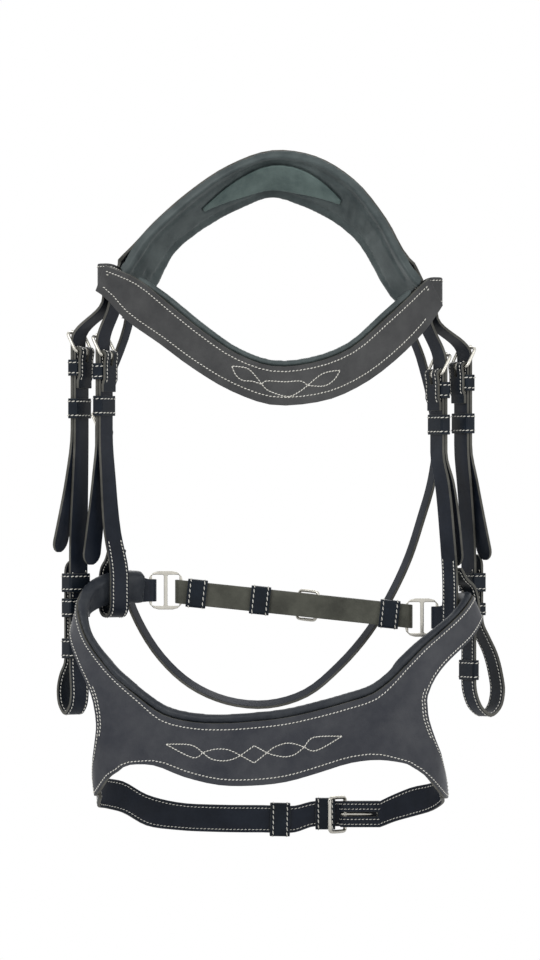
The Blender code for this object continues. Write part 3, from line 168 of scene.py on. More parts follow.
def leather_look(name, dark, light, rough, pore_scale=1500.0, pore_depth=0.35, shine=0.20):
    """Waxed leather: pores, fine creases, and a shine that is handled away in patches."""
    material, shader, place = finish_of(name)
    mottled_colour(material, place, 42.0, dark, light, shader.inputs["Base Color"])
    mottled(material, place, 26.0, rough - 0.07, rough + 0.09, shader.inputs["Roughness"])
    pores = texture(material, "ShaderNodeTexVoronoi", Scale=pore_scale, feature="SMOOTH_F1")
    creases = texture(material, "ShaderNodeTexNoise", Scale=260.0, Detail=7.0, Roughness=0.65)
    waves = texture(material, "ShaderNodeTexNoise", Scale=55.0, Detail=2.0)
    for node in (pores, creases, waves):
        wire_up(material, place, node.inputs["Vector"])
    heights = (
        (waves.outputs["Fac"], 0.30, 0.0006),
        (creases.outputs["Fac"], 0.30, 0.00022),
        (pores.outputs["Distance"], pore_depth, 0.00014),
    )
    relief(material, heights, shader.inputs["Normal"])
    shader.inputs["Coat Weight"].default_value = shine / 10
    shader.inputs["Coat Roughness"].default_value = 0.32
    shader.inputs["Specular IOR Level"].default_value = shine
    return material


def thread_look():
    """Waxed linen thread: cream, with the twist of its strands."""
    material, shader, place = finish_of("waxed linen thread")
    colour = shader.inputs["Base Color"]
    mottled_colour(material, place, 300.0, (0.74, 0.72, 0.64), (0.93, 0.92, 0.86), colour)
    twist = texture(material, "ShaderNodeTexWave", Scale=900.0, Distortion=1.5, bands_direction="DIAGONAL")
    wire_up(material, place, twist.inputs["Vector"])
    relief(material, ((twist.outputs["Fac"], 0.35, 0.00010),), shader.inputs["Normal"])
    shader.inputs["Roughness"].default_value = 0.62
    shader.inputs["Sheen Weight"].default_value = 0.15
    return material


strap_leather = leather_look(
    "black bridle leather", (0.0035, 0.0065, 0.0115), (0.0090, 0.0150, 0.0240), rough=0.38, shine=0.17,
)
face_leather = leather_look(
    "face leather", (0.0400, 0.0410, 0.0430), (0.0720, 0.0730, 0.0740), rough=0.44,
    pore_scale=1300.0, shine=0.26,
)
# The cut edges are painted a pale olive-grey: a painted highlight, the light that catches every edge.
edge_highlight_paint = leather_look(
    "cut edge painted highlight", (0.0650, 0.0640, 0.0560), (0.1350, 0.1330, 0.1180), rough=0.50,
    pore_scale=900.0, pore_depth=0.20,
)
flesh_side = leather_look(
    "dyed flesh side", (0.0040, 0.0070, 0.0140), (0.0110, 0.0160, 0.0270), rough=0.42,
    pore_scale=1900.0, pore_depth=0.25,
)
thread = thread_look()


def own_mesh(node, merged=True):
    """A frame node's mesh with its loose triangles joined and, if merged, its flat ones made one."""
    mesh = bmesh.new()
    mesh.from_mesh(nodes[node].data)
    bmesh.ops.remove_doubles(mesh, verts=mesh.verts, dist=WELD)
    bmesh.ops.dissolve_degenerate(mesh, edges=mesh.edges, dist=WELD)
    if merged:
        bmesh.ops.dissolve_limit(mesh, angle_limit=FLAT, verts=mesh.verts, edges=mesh.edges)
    return mesh


def patches(mesh):
    """The faces in groups that sharp edges part."""
    groups = []
    seen = set()
    for first in mesh.faces:
        if first in seen:
            continue
        seen.add(first)
        group = [first]
        for face in group:
            for edge in face.edges:
                if len(edge.link_faces) != 2 or edge.calc_face_angle(pi) > SHARP:
                    continue
                fresh = [other for other in edge.link_faces if other not in seen]
                seen.update(fresh)
                group += fresh
        groups.append(group)
    return groups


def border(group):
    """The loops of a group's faces that run along its border."""
    own = set(group)
    found = []
    for face in group:
        for loop in face.loops:
            if sum(other in own for other in loop.edge.link_faces) == 1:
                found.append(loop)
    return found


def breadth(group):
    """The mean width of a group of faces, from its area and its border's length."""
    rim = sum(loop.edge.calc_length() for loop in border(group))
    return 2 * sum(face.calc_area() for face in group) / max(rim, WELD)


def outwardness(group):
    """How far a group of faces looks away from the middle of the bridle."""
    total = 0.0
    for face in group:
        away = (face.calc_center_median() - head_middle).normalized()
        total += face.calc_area() * face.normal.dot(away)
    return total


def area(group):
    return sum(face.calc_area() for face in group)


def wide_faces(mesh):
    """A leather's grain and flesh sides, without its cut edges."""
    return [group for group in patches(mesh) if breadth(group) > CUT_EDGE_MOST]


def rounded_edges(mesh, size, steps):
    """Rounds every sharp edge off, as a beveller or a file does."""
    corners = [e for e in mesh.edges if len(e.link_faces) == 2 and e.calc_face_angle(0) > SHARP]
    bmesh.ops.bevel(
        mesh, geom=corners, offset=size, offset_type="OFFSET", segments=steps, profile=0.5, affect="EDGES",
        clamp_overlap=False, material=-1,
    )


def relaxed(mesh, verts, rounds):
    for _ in range(rounds):
        bmesh.ops.smooth_vert(
            mesh, verts=verts, factor=HALF_WAY, use_axis_x=True, use_axis_y=True, use_axis_z=True,
        )


def seam_lines(group, inset, least):
    """Closed runs of (place, normal) at a distance inside a group's border. Shorter borders are slots."""
    after = {loop.vert: loop for loop in border(group)}
    lines = []
    while after:
        vert = next(iter(after))
        run = []
        while vert in after:
            loop = after.pop(vert)
            ahead = loop.link_loop_next.vert
            step = ahead.co - vert.co
            if step.length > WELD:
                inward = loop.face.normal.cross(step).normalized()
                run.append((vert.co.copy(), inward, loop.face.normal.copy(), step.length))
            vert = ahead
        if sum(one[3] for one in run) < least:
            continue
        line = []
        for behind, here in zip([run[-1]] + run[:-1], run):
            turn = max(1 + behind[1].dot(here[1]), TURN_LEAST)
            away = (behind[1] + here[1]) * inset(here[0]) / turn
            line.append((here[0] + away, (behind[2] + here[2]).normalized()))
        lines.append(line)
    return lines


def spaced(line, pitch, closed=True):
    """(place, direction, normal) at an even pitch along a line."""
    points = line + line[:1] if closed else line
    lengths = [(b[0] - a[0]).length for a, b in zip(points, points[1:])]
    total = sum(lengths)
    count = max(round(total / pitch), 1)
    found = []
    reached, i = 0.0, 0
    for number in range(count):
        want = (number + 0.5) * total / count
        while i < len(lengths) - 1 and reached + lengths[i] < want:
            reached += lengths[i]
            i += 1
        (a, normal_a), (b, normal_b) = points[i], points[i + 1]
        share = (want - reached) / max(lengths[i], WELD)
        found.append((a.lerp(b, share), (b - a).normalized(), normal_a.lerp(normal_b, share).normalized()))
    return found


def stitch_form():
    """One stitch, a unit long and a unit thick, that every seam repeats."""
    mesh = bmesh.new()
    bmesh.ops.create_uvsphere(mesh, u_segments=6, v_segments=4, radius=1)
    data = bpy.data.meshes.new("stitch form")
    mesh.to_mesh(data)
    mesh.free()
    return data


one_stitch = stitch_form()


def stitching(name, stitches, body, length=STITCH_LENGTH, thick=THREAD):
    """Each stitch is a short bow of thread that dives into the leather at both ends."""
    mesh = bmesh.new()
    for place, along, normal in stitches:
        lean = (along * cos(THREAD_SLANT) + normal.cross(along) * sin(THREAD_SLANT)).normalized()
        side = normal.cross(lean).normalized()
        over = lean.cross(side).normalized()
        bow = Matrix((side * thick / 2, over * thick / 2, lean * length / 2)).transposed().to_4x4()
        bow.translation = place + over * thick * THREAD_SUNK
        bent_stitch = one_stitch.copy()
        bent_stitch.transform(bow)
        mesh.from_mesh(bent_stitch)
        bpy.data.meshes.remove(bent_stitch)
    return piece_of(name, mesh, body, (thread,))


def piece_of(name, mesh, body, looks):
    """A finished mesh as an object at the origin, smooth, that moves with its body."""
    for face in mesh.faces:
        face.smooth = True
    data = bpy.data.meshes.new(name)
    mesh.to_mesh(data)
    mesh.free()
    item = bpy.data.objects.new(name, data)
    scene.collection.objects.link(item)
    for look in looks:
        data.materials.append(look)
    if body:
        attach(item, body)
    return item


def even_shading(item):
    weigh = item.modifiers.new("even shading", "WEIGHTED_NORMAL")
    weigh.keep_sharp = True
    weigh.weight = 80


def body_of(node):
    return nodes[node]["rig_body"]


def hide(node, seams=(), grain=strap_leather, flesh=flesh_side, rank=outwardness, pitch=STITCH_PITCH,
         length=STITCH_LENGTH, thick=THREAD, edge=EDGE_ROUND, least=STRAP_ROUND, trim=None):
    """A strap cut from the frame's shape: grain, flesh side, edges painted pale as a painted highlight, and
    its seams.

    A seam is (inset from the edge at a place, a test of place and direction, which sides it shows on)."""
    mesh = own_mesh(node)
    if trim:
        trim(mesh)
    groups = patches(mesh)
    wide = [group for group in groups if breadth(group) > CUT_EDGE_MOST]
    outer = max(wide, key=rank)
    stitches = []
    for group in groups:
        index = CUT_EDGE
        if group in wide:
            index = GRAIN if group is outer else FLESH
        for face in group:
            face.material_index = index
    for group in wide:
        for inset, keep, sides in seams:
            if sides == "grain" and group is not outer:
                continue
            for line in seam_lines(group, inset, least):
                stitches += [one for one in spaced(line, pitch) if keep(one[0], one[1])]
    rounded_edges(mesh, edge, EDGE_STEPS)
    item = piece_of(f"{node}_hide", mesh, body_of(node), (grain, edge_highlight_paint, flesh))
    even_shading(item)
    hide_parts(node)
    if stitches:
        stitching(f"{node}_stitching", stitches, body_of(node), length, thick)
    return item


def everywhere(place, along):
    """A seam that goes all the way round."""
    return True


def inside(inset):
    """A seam at one distance from the edge."""
    return lambda place: inset


def above(level):
    return lambda place, along: place.z > level


def below(level):
    return lambda place, along: place.z < level


CROWN_SEAM = 0.0030
LOOP_TOP = -0.0780
SHOULDERS = (
    (-1, -0.0700, 0.0180, 0.0220, 0.1130, 0.1260, (0.0098, 0.0140, 0)),
    (1, -0.0765, 0.0150, 0.0220, 0.1130, 0.1260, (-0.0100, 0.0143, 0)),
)


def drawn_shoulders(mesh):
    """Draws the crown's outer edge in where it goes down into each browband loop.

    A shoulder is (side, level, run over it, run under it, where it begins across and is whole, reach)."""
    for side, level, over, under, inner, outer, reach in SHOULDERS:
        for vert in mesh.verts:
            along = (vert.co.z - level) / (over if vert.co.z > level else under)
            across = min((vert.co.x * side - inner) / (outer - inner), 1)
            if abs(along) < 1 and across > 0:
                vert.co += Vector(reach) * across * (1 - along ** 2) ** 2


hide(
    "crown_leather", ((inside(CROWN_SEAM), above(LOOP_TOP), "grain"),), grain=face_leather,
    trim=drawn_shoulders,
)

# Poll padding: foam under soft green-black calf, drawn round the crown's edges into two rolls and sewn down
# along their feet, so that the middle lies a little lower than the rolls. Its ends go on behind the browband.
POLL_MESH = 0.0016
POLL_SWELL = 0.0016
AIR = 4.0
CLOTH_STEPS = 20
CHANNEL_WIDTH = 0.0030
CHANNEL_DEPTH = 0.0010
ROLL_FOOT = 0.0065
POLL_FOOT_DEPTH = 0.0105
INSERT_RIM = 0.0002
RIM_WIDTH = 0.0030
RIM_DEPTH = 0.0016
OVERHANG = 0.0015
OVERHANG_KEPT = 0.2
POLL_ENDS = (
    (-1, (-0.0850, 0.0120, -0.0530), (-0.41, 0, -0.91), (0.0010, -0.0040, -0.0130)),
    (1, (0.0850, 0.0120, -0.0650), (0.70, 0, -0.70), (0.0040, -0.0098, -0.0140)),
)
END_RUN = 0.025


def settle(item):
    """Bakes an object's modifiers into its mesh."""
    graph = bpy.context.evaluated_depsgraph_get()
    data = bpy.data.meshes.new_from_object(item.evaluated_get(graph))
    item.modifiers.clear()
    old = item.data
    item.data = data
    bpy.data.meshes.remove(old)


def blown_up(name, node, cell, most, rounds=2):
    """A padding from the frame's solid: an even mesh, swollen by air, that stays near the solid."""
    item = piece_of(name, own_mesh(node), None, ())
    even = item.modifiers.new("even mesh", "REMESH")
    even.mode = "VOXEL"
    even.voxel_size = cell
    settle(item)
    start = [vert.co.copy() for vert in item.data.vertices]
    cloth = item.modifiers.new("air", "CLOTH")
    cloth.settings.use_pressure = True
    cloth.settings.uniform_pressure_force = AIR
    cloth.settings.effector_weights.gravity = 0
    cloth.settings.quality = 4
    cloth.point_cache.frame_end = CLOTH_STEPS
    for step in range(1, CLOTH_STEPS + 1):
        scene.frame_set(step)
    settle(item)
    scene.frame_set(1)
    for vert, home in zip(item.data.vertices, start):
        moved = vert.co - home
        if moved.length > most:
            vert.co = home + moved.normalized() * most
    mesh = bmesh.new()
    mesh.from_mesh(item.data)
    relaxed(mesh, mesh.verts, rounds)
    mesh.to_mesh(item.data)
    mesh.free()
    return item


def pressed(item, places, width, depth):
    """Draws a channel into a padding along a seam."""
    tree = KDTree(len(places))
    for number, place in enumerate(places):
        tree.insert(place, number)
    tree.balance()
    mesh = bmesh.new()
    mesh.from_mesh(item.data)
    mesh.normal_update()
    for vert in mesh.verts:
        _, _, away = tree.find(vert.co)
        if away < width:
            vert.co -= vert.normal * depth * (1 - (away / width) ** 2) ** 2
    mesh.to_mesh(item.data)
    mesh.free()


def on_surface(item, places):
    """The place on an object's surface that is nearest to each place."""
    tree = BVHTree.FromObject(item, bpy.context.evaluated_depsgraph_get())
    return [tree.find_nearest(place)[0] for place in places]


def drawn_in(item, node):
    """Draws a padding's overhang in towards the edges of the leather that it is sewn to."""
    mesh = own_mesh(node)
    mesh.verts.index_update()
    inner = min(wide_faces(mesh), key=outwardness)
    faces = [[vert.index for vert in face.verts] for face in inner]
    tree = BVHTree.FromPolygons([vert.co for vert in mesh.verts], faces)
    mesh.free()
    for vert in item.data.vertices:
        near, normal, _, _ = tree.find_nearest(vert.co)
        over = vert.co - near
        over -= normal * over.dot(normal)
        beyond = over.length - OVERHANG
        if beyond > 0:
            vert.co -= over.normalized() * beyond * (1 - OVERHANG_KEPT)


def drawn_out(item, ends):
    """Draws a padding's ends out to soft tapers behind the next piece: (side, start, way, reach)."""
    for side, start, way, reach in ends:
        ahead = Vector(way).normalized()
        for vert in item.data.vertices:
            if vert.co.x * side > 0:
                share = min(max((vert.co - Vector(start)).dot(ahead) / END_RUN, 0), 1)
                vert.co += Vector(reach) * share * share


def upholster(item, node, look):
    """Gives a padding its leather, its body, and one more step of roundness."""
    item.data.materials.clear()
    item.data.materials.append(look)
    item.data.polygons.foreach_set("use_smooth", [True] * len(item.data.polygons))
    round_off = item.modifiers.new("round", "SUBSURF")
    round_off.levels = 1
    round_off.render_levels = 1
    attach(item, body_of(node))
    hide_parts(node)


def inner_lines(node, inset, lift):
    """The seam lines of a leather's inner face, moved inward into the padding that lies on it."""
    mesh = own_mesh(node)
    inner = min(wide_faces(mesh), key=outwardness)
    lines = []
    for line in seam_lines(inner, inside(inset), STRAP_ROUND):
        lines.append([place + normal * lift for place, _, normal in spaced(line, STITCH_PITCH)])
    mesh.free()
    return lines


calf_lining = leather_look(
    "navy calf lining", (0.0450, 0.0590, 0.0610), (0.0950, 0.1180, 0.1180), rough=0.42,
    pore_scale=2100.0, pore_depth=0.22, shine=0.26,
)
poll = blown_up("poll_padding", "poll_pad", POLL_MESH, POLL_SWELL)
low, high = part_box("poll_pad")
drawn_in(poll, "crown_leather")
drawn_out(poll, POLL_ENDS)
for line in inner_lines("crown_leather", ROLL_FOOT, POLL_FOOT_DEPTH):
    over_pad = [place for place in line if low.z < place.z and low.x < place.x < high.x]
    pressed(poll, on_surface(poll, over_pad), CHANNEL_WIDTH, CHANNEL_DEPTH)
for line in inner_lines("poll_insert", INSERT_RIM, 0):
    pressed(poll, on_surface(poll, line), RIM_WIDTH, RIM_DEPTH)
upholster(poll, "poll_pad", calf_lining)

# Poll insert: a lens of soft green leather let into the padding over the poll and sewn in, so that the
# padding dips all round its rim.
INSERT_MESH = 0.0008
INSERT_SWELL = 0.0005
insert_look = leather_look(
    "insert leather", (0.0760, 0.1120, 0.1080), (0.1560, 0.2120, 0.2000), rough=0.48,
    pore_scale=1700.0, pore_depth=0.30,
)
lens = blown_up("poll_lens", "poll_insert", INSERT_MESH, INSERT_SWELL, rounds=1)
drawn_in(lens, "crown_leather")
upholster(lens, "poll_insert", insert_look)

# Browband: a curved face of stout leather with a turned edge, sewn to its padding by one line near the top
# and one near the bottom. A plain fancy stitch of two leaves and a middle panel is worked on its front.
BROW_TOP_SEAM = 0.0040
BROW_FOOT_SEAM = 0.0064
BROW_END_SLOPE = 0.75
FANCY_PITCH = 0.0025
FANCY_LENGTH = 0.0024
BROW_FANCY = (
    ((-0.0300, -0.1516), (-0.0184, -0.1532), (-0.0118, -0.1590), (-0.0064, -0.1660)),
    ((-0.0300, -0.1516), (-0.0268, -0.1586), (-0.0216, -0.1628), (-0.0140, -0.1636), (-0.0064, -0.1660)),
    ((-0.0064, -0.1660), (-0.0024, -0.1634), (0.0117, -0.1640), (0.0240, -0.1634), (0.0296, -0.1668)),
    ((-0.0064, -0.1660), (-0.0008, -0.1712), (0.0136, -0.1756), (0.0224, -0.1722), (0.0296, -0.1668)),
    ((0.0296, -0.1668), (0.0392, -0.1588), (0.0470, -0.1558), (0.0552, -0.1548)),
    ((0.0296, -0.1668), (0.0424, -0.1672), (0.0505, -0.1622), (0.0552, -0.1548)),
)


def bent(points, steps=6):
    """A smooth line through points across and down, on the front."""
    made = []
    for i in range(len(points) - 1):
        before = Vector(points[max(i - 1, 0)])
        a, b = Vector(points[i]), Vector(points[i + 1])
        after = Vector(points[min(i + 2, len(points) - 1)])
        slope_a, slope_b = (b - before) / 2, (after - a) / 2
        for step in range(steps):
            t = step / steps
            made.append(
                a * (1 + 2 * t) * (1 - t) ** 2 + b * t * t * (3 - 2 * t)
                + slope_a * t * (1 - t) ** 2 - slope_b * t * t * (1 - t)
            )
    made.append(Vector(points[-1]))
    return made


def on_front(item, points):
    """The line laid on the front of a piece, seen from the horse's front."""
    tree = BVHTree.FromObject(item, bpy.context.evaluated_depsgraph_get())
    line = []
    for across, down in points:
        place, normal, _, _ = tree.ray_cast(Vector((across, cad_box[0].y - WELD, down)), Vector((0, 1, 0)))
        if place:
            line.append((place, normal))
    return line


def fancy_stitch(name, item, shapes, body):
    """A plain pattern in thread on the front of a face: each shape is one line of stitches."""
    stitches = []
    for shape in shapes:
        stitches += spaced(on_front(item, bent(shape)), FANCY_PITCH, closed=False)
    return stitching(name, stitches, body, FANCY_LENGTH)


def along_top(place, along):
    return along.x < 0 and abs(along.z) < BROW_END_SLOPE


def along_foot(place, along):
    return along.x > 0 and abs(along.z) < BROW_END_SLOPE


brow = hide(
    "browband_leather",
    ((inside(BROW_TOP_SEAM), along_top, "grain"), (inside(BROW_FOOT_SEAM), along_foot, "grain")),
    grain=face_leather,
)
fancy_stitch("browband_fancy_stitch", brow, BROW_FANCY, "browband_body")

# Browband padding: a soft calf roll over foam behind the face, which stands up along its top edge. It is
# caught in the face's two seams, and its ends run out behind the loops.
PAD_MESH = 0.0015
PAD_SWELL = 0.0013
BROW_ENDS = (
    (-1, (-0.0760, -0.0590, -0.0960), (-0.0140, 0.0092, 0.0063), (-0.0140, 0.0092, 0.0063)),
    (1, (0.0840, -0.0540, -0.1080), (0.0140, 0.0092, 0.0110), (0.0140, 0.0092, 0.0110)),
)
brow_roll = blown_up("browband_roll", "browband_padding", PAD_MESH, PAD_SWELL)
drawn_out(brow_roll, BROW_ENDS)
upholster(brow_roll, "browband_padding", calf_lining)

# Browband loops: short bands of face leather, doubled, that the cheek straps pass through. They are sewn
# along both edges and to the browband's ends.
LOOP_SEAM = 0.0025
for side in ("left", "right"):
    hide(f"browband_loop_{side}", ((inside(LOOP_SEAM), everywhere, "grain"),), grain=face_leather, rank=area)

# Cheek straps: the billet comes down from the crown to the buckle, and its holes are punched. The cheekpiece
# is folded round the buckle's bar and round the bit, and both folds are sewn along their edges.
SEAM = 0.0021
CHAPE = 0.0290
KEEPER_PITCH = 0.0042
KEEPER_STITCH = 0.0034
KEEPER_THREAD = 0.00095
KEEPER_EDGE = 0.00040
KEEPER_SEAM = 0.0024


def keeper_band(node):
    """A small loop of leather round the straps, with a bold stitch along each edge."""
    return hide(
        node, ((inside(KEEPER_SEAM), everywhere, "grain"),), rank=area, pitch=KEEPER_PITCH,
        length=KEEPER_STITCH, thick=KEEPER_THREAD, edge=KEEPER_EDGE, least=KEEPER_ROUND,
    )


def chape_end(frame_node):
    """The height at which a folded strap's sewing stops, below its buckle."""
    return (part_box(frame_node)[0].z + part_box(frame_node)[1].z) / 2 - CHAPE


for side in ("left", "right"):
    hide(f"cheek_billet_{side}")
    bit_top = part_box(f"bit_keeper_upper_{side}")[1].z + KEEPER_SEAM
    chape_low = chape_end(f"cheek_{side}_frame")
    hide(
        f"cheekpiece_{side}",
        ((inside(SEAM), above(chape_low), "both"), (inside(SEAM), below(bit_top), "both")),
    )
    keeper_band(f"cheek_{side}_keeper")
    keeper_band(f"cheek_{side}_runner")
    for place in ("upper", "middle", "lower"):
        keeper_band(f"bit_keeper_{place}_{side}")

# Buckles and hook studs: nickel wire. Each frame has round corners and is held in the fold of its strap, and
# its tongue is one wire curled round the bar.
WIRE_FILL = 0.00013
WIRE_STEPS = 2
WIRE_BEND = radians(40)
WIRE_SKEW = radians(50)


def nickel_look(name, light, rough):
    """Polished nickel: a warm white metal with hair scratches and dull patches from handling."""
    material, shader, place = finish_of(name)
    dull = tuple(0.86 * part for part in light)
    mottled_colour(material, place, 160.0, dull, light, shader.inputs["Base Color"])
    mottled(material, place, 90.0, rough - 0.05, rough + 0.10, shader.inputs["Roughness"])
    scratch = texture(material, "ShaderNodeTexNoise", Scale=1400.0, Detail=3.0)
    stretch = texture(material, "ShaderNodeMapping", Scale=(1.0, 1.0, 0.12))
    wire_up(material, place, stretch.inputs["Vector"])
    wire_up(material, stretch.outputs["Vector"], scratch.inputs["Vector"])
    relief(material, ((scratch.outputs["Fac"], 0.12, 0.00005),), shader.inputs["Normal"])
    shader.inputs["Metallic"].default_value = 1.0
    return material


nickel = nickel_look("polished nickel", (0.62, 0.60, 0.54), 0.24)


def wire_piece(node):
    """A wire part of the frame, made truly round."""
    mesh = own_mesh(node)
    bmesh.ops.join_triangles(
        mesh, faces=mesh.faces, angle_face_threshold=WIRE_BEND, angle_shape_threshold=WIRE_SKEW,
    )
    mesh.normal_update()
    for vert in mesh.verts:
        vert.co += vert.normal * WIRE_FILL
    item = piece_of(f"{node}_nickel", mesh, body_of(node), (nickel,))
    round_off = item.modifiers.new("round", "SUBSURF")
    round_off.levels = WIRE_STEPS
    round_off.render_levels = WIRE_STEPS
    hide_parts(node)
    return item


for side in ("left", "right"):
    for part in (f"cheek_{side}_frame", f"cheek_{side}_tongue", f"hook_stud_{side}"):
        wire_piece(part)

# Noseband hangers: the same billet and chape as on the cheek, and below them a sewn loop that holds the
# noseband's jaw strap.
HANGER_LOOP = 0.062
for side in ("left", "right"):
    hide(f"nose_billet_{side}")
    chape_low = chape_end(f"nose_{side}_frame")
    loop_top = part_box(f"hanger_{side}")[0].z + HANGER_LOOP
    hide(
        f"hanger_{side}",
        ((inside(SEAM), above(chape_low), "both"), (inside(SEAM), below(loop_top), "both")),
    )
    keeper_band(f"nose_{side}_keeper")
    keeper_band(f"nose_{side}_runner")
    wire_piece(f"nose_{side}_frame")
    wire_piece(f"nose_{side}_tongue")

# Noseband: a wide shaped face of stout leather that forks at each side, into the jaw straps above and the
# chin straps below. A seam runs inside every edge, and a chain of diamonds is worked on its front.
NOSE_SEAM = 0.0050
ARM_SEAM = 0.0024
PANEL_HALF = 0.078
PANEL_FADE = 0.030
WAIST_SEAM = 0.0046
WAIST = (-0.445, -0.405)
WAIST_RUN_UNDER = 0.012
WAIST_RUN_OVER = 0.030
WAIST_ROUNDS = 10
WAIST_FIELD_ROUNDS = 4
UPRIGHT = 0.5
FORK_LEVEL = -0.462
FORK_OUT = 0.122
FORK_ROUNDS = 8
NOSE_FANCY = (
    ((-0.0820, -0.4492), (-0.0624, -0.4496), (-0.0528, -0.4556)),
    ((-0.0820, -0.4492), (-0.0608, -0.4596), (-0.0528, -0.4556)),
    ((-0.0528, -0.4556), (-0.0464, -0.4535), (-0.0400, -0.4526), (-0.0320, -0.4535), (-0.0232, -0.4577)),
    ((-0.0528, -0.4556), (-0.0464, -0.4604), (-0.0376, -0.4620), (-0.0296, -0.4608), (-0.0232, -0.4577)),
    ((-0.0232, -0.4577), (-0.0124, -0.4500)),
    ((-0.0124, -0.4500), (-0.0024, -0.4556)),
    ((-0.0232, -0.4577), (-0.0124, -0.4636)),
    ((-0.0124, -0.4636), (-0.0024, -0.4556)),
    ((-0.0024, -0.4556), (0.0032, -0.4513), (0.0120, -0.4482), (0.0196, -0.4487), (0.0269, -0.4513)),
    ((-0.0024, -0.4556), (0.0028, -0.4574), (0.0118, -0.4588), (0.0196, -0.4569), (0.0269, -0.4513)),
    ((0.0269, -0.4513), (0.0344, -0.4436), (0.0568, -0.4428)),
    ((0.0269, -0.4513), (0.0365, -0.4540), (0.0568, -0.4428)),
)
nose_leather = leather_look(
    "noseband leather", (0.0300, 0.0330, 0.0430), (0.0580, 0.0610, 0.0700), rough=0.42,
    pore_scale=1300.0, shine=0.26,
)


def nose_inset(place):
    """The seam's distance from the edge: wide in front, and narrow on the arms."""
    share = min(max((abs(place.x) - PANEL_HALF) / PANEL_FADE, 0), 1)
    return NOSE_SEAM + (ARM_SEAM - NOSE_SEAM) * share * share * (3 - 2 * share)


def waist_part(place):
    low, high = WAIST
    on_arm = abs(place.x) > PANEL_HALF + PANEL_FADE
    return low - WAIST_RUN_UNDER < place.z < high + WAIST_RUN_OVER and on_arm


def fork_end(place):
    return place.z < FORK_LEVEL and abs(place.x) > FORK_OUT


def eased_outline(mesh):
    """Draws the knife's path at the waists and round the fork's ends into even curves."""
    rims = [{loop.vert: loop.link_loop_next.vert for loop in border(group)} for group in wide_faces(mesh)]
    for after in rims:
        before = {ahead: vert for vert, ahead in after.items()}
        for rounds, part in ((WAIST_ROUNDS, waist_part), (FORK_ROUNDS, fork_end)):
            chosen = [vert for vert in after if vert in before and part(vert.co)]
            for _ in range(rounds):
                moved = {}
                for vert in chosen:
                    a, b = before[vert].co, after[vert].co
                    share = (vert.co - a).length / max((vert.co - a).length + (b - vert.co).length, WELD)
                    moved[vert] = vert.co.lerp(a.lerp(b, share), HALF_WAY)
                for vert, place in moved.items():
                    vert.co = place
    on_rim = set().union(*rims)
    field = [vert for vert in mesh.verts if waist_part(vert.co) and vert not in on_rim]
    relaxed(mesh, field, WAIST_FIELD_ROUNDS)


def at_waist(place, along):
    """A second line of stitches runs up each waist."""
    low, high = WAIST
    return low < place.z < high and abs(place.x) > PANEL_HALF + PANEL_FADE and abs(along.x) < UPRIGHT


nose = hide(
    "noseband_leather",
    ((nose_inset, everywhere, "grain"), (inside(WAIST_SEAM), at_waist, "grain")),
    grain=nose_leather, trim=eased_outline,
)
fancy_stitch("noseband_fancy_stitch", nose, NOSE_FANCY, "noseband_body")

# Noseband padding: soft calf over foam, rolled forward over the top edge and fuller along the jaws. It is
# caught in the face's seam all the way round.
dark_calf = leather_look(
    "dark calf lining", (0.0130, 0.0170, 0.0250), (0.0400, 0.0450, 0.0520), rough=0.40,
    pore_scale=2100.0, pore_depth=0.22, shine=0.26,
)
nose_roll = blown_up("noseband_roll", "noseband_padding", PAD_MESH, PAD_SWELL)
upholster(nose_roll, "noseband_padding", dark_calf)

# Jaw rings: cast nickel rings with a middle bar and filed edges. The jaw strap is folded round one side of
# each, and the rear strap passes through the other.
CAST_ROUND = 0.00055
CAST_STEPS = 4
for side in ("left", "right"):
    ring_mesh = own_mesh(f"jaw_ring_{side}", merged=False)
    rounded_edges(ring_mesh, CAST_ROUND, CAST_STEPS)
    ring = piece_of(f"jaw_ring_{side}_nickel", ring_mesh, body_of(f"jaw_ring_{side}"), (nickel,))
    even_shading(ring)
    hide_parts(f"jaw_ring_{side}")

# Rear strap: a plain adjusting strap through both rings and back through its own buckle, its leather painted
# paler than the other straps as a painted highlight. Three keepers hold its layers together.
# The rear strap's leather is painted a paler olive-grey: a painted highlight where the strap catches the
# light.
rear_strap_highlight_paint = leather_look(
    "rear strap painted highlight", (0.0520, 0.0530, 0.0430), (0.1150, 0.1170, 0.0950), rough=0.46,
)
hide("crank_strap", grain=rear_strap_highlight_paint, flesh=rear_strap_highlight_paint, rank=area)
for number in (1, 2, 3):
    keeper_band(f"crank_keeper_{number}")
wire_piece("crank_frame")
wire_piece("crank_tongue")

# Chin strap: two straps that are sewn to the noseband's lower forks and meet at a flat buckle under the
# chin. Both are edge-stitched with a finer thread.
CHIN_THREAD = 0.00068
for side in ("left", "right"):
    hide(f"drop_strap_{side}", ((inside(ARM_SEAM), everywhere, "both"),), thick=CHIN_THREAD)
for number in (1, 2):
    keeper_band(f"drop_keeper_{number}")
wire_piece("drop_frame")
wire_piece("drop_tongue")

# Throatlatch: a long narrow strap that hangs behind the cheeks. It goes up through the right browband loop,
# and a small buckle joins it to its billet on the left.
hide("throatlatch")
hide("throat_billet")
wire_piece("throat_frame")
wire_piece("throat_tongue")

# Studio: a pale floor well below the bridle and soft light from large panels. The camera stands level in
# front, with a long lens.
FLOOR_DROP = 0.160
FLOOR_SIZE = 3.0
FADE_START = 0.35
FADE_END = 0.75
VIEW_HEIGHT = 0.768
VIEW_LEVEL = -0.2412
VIEW_DISTANCE = 5.0
SENSOR = 36.0


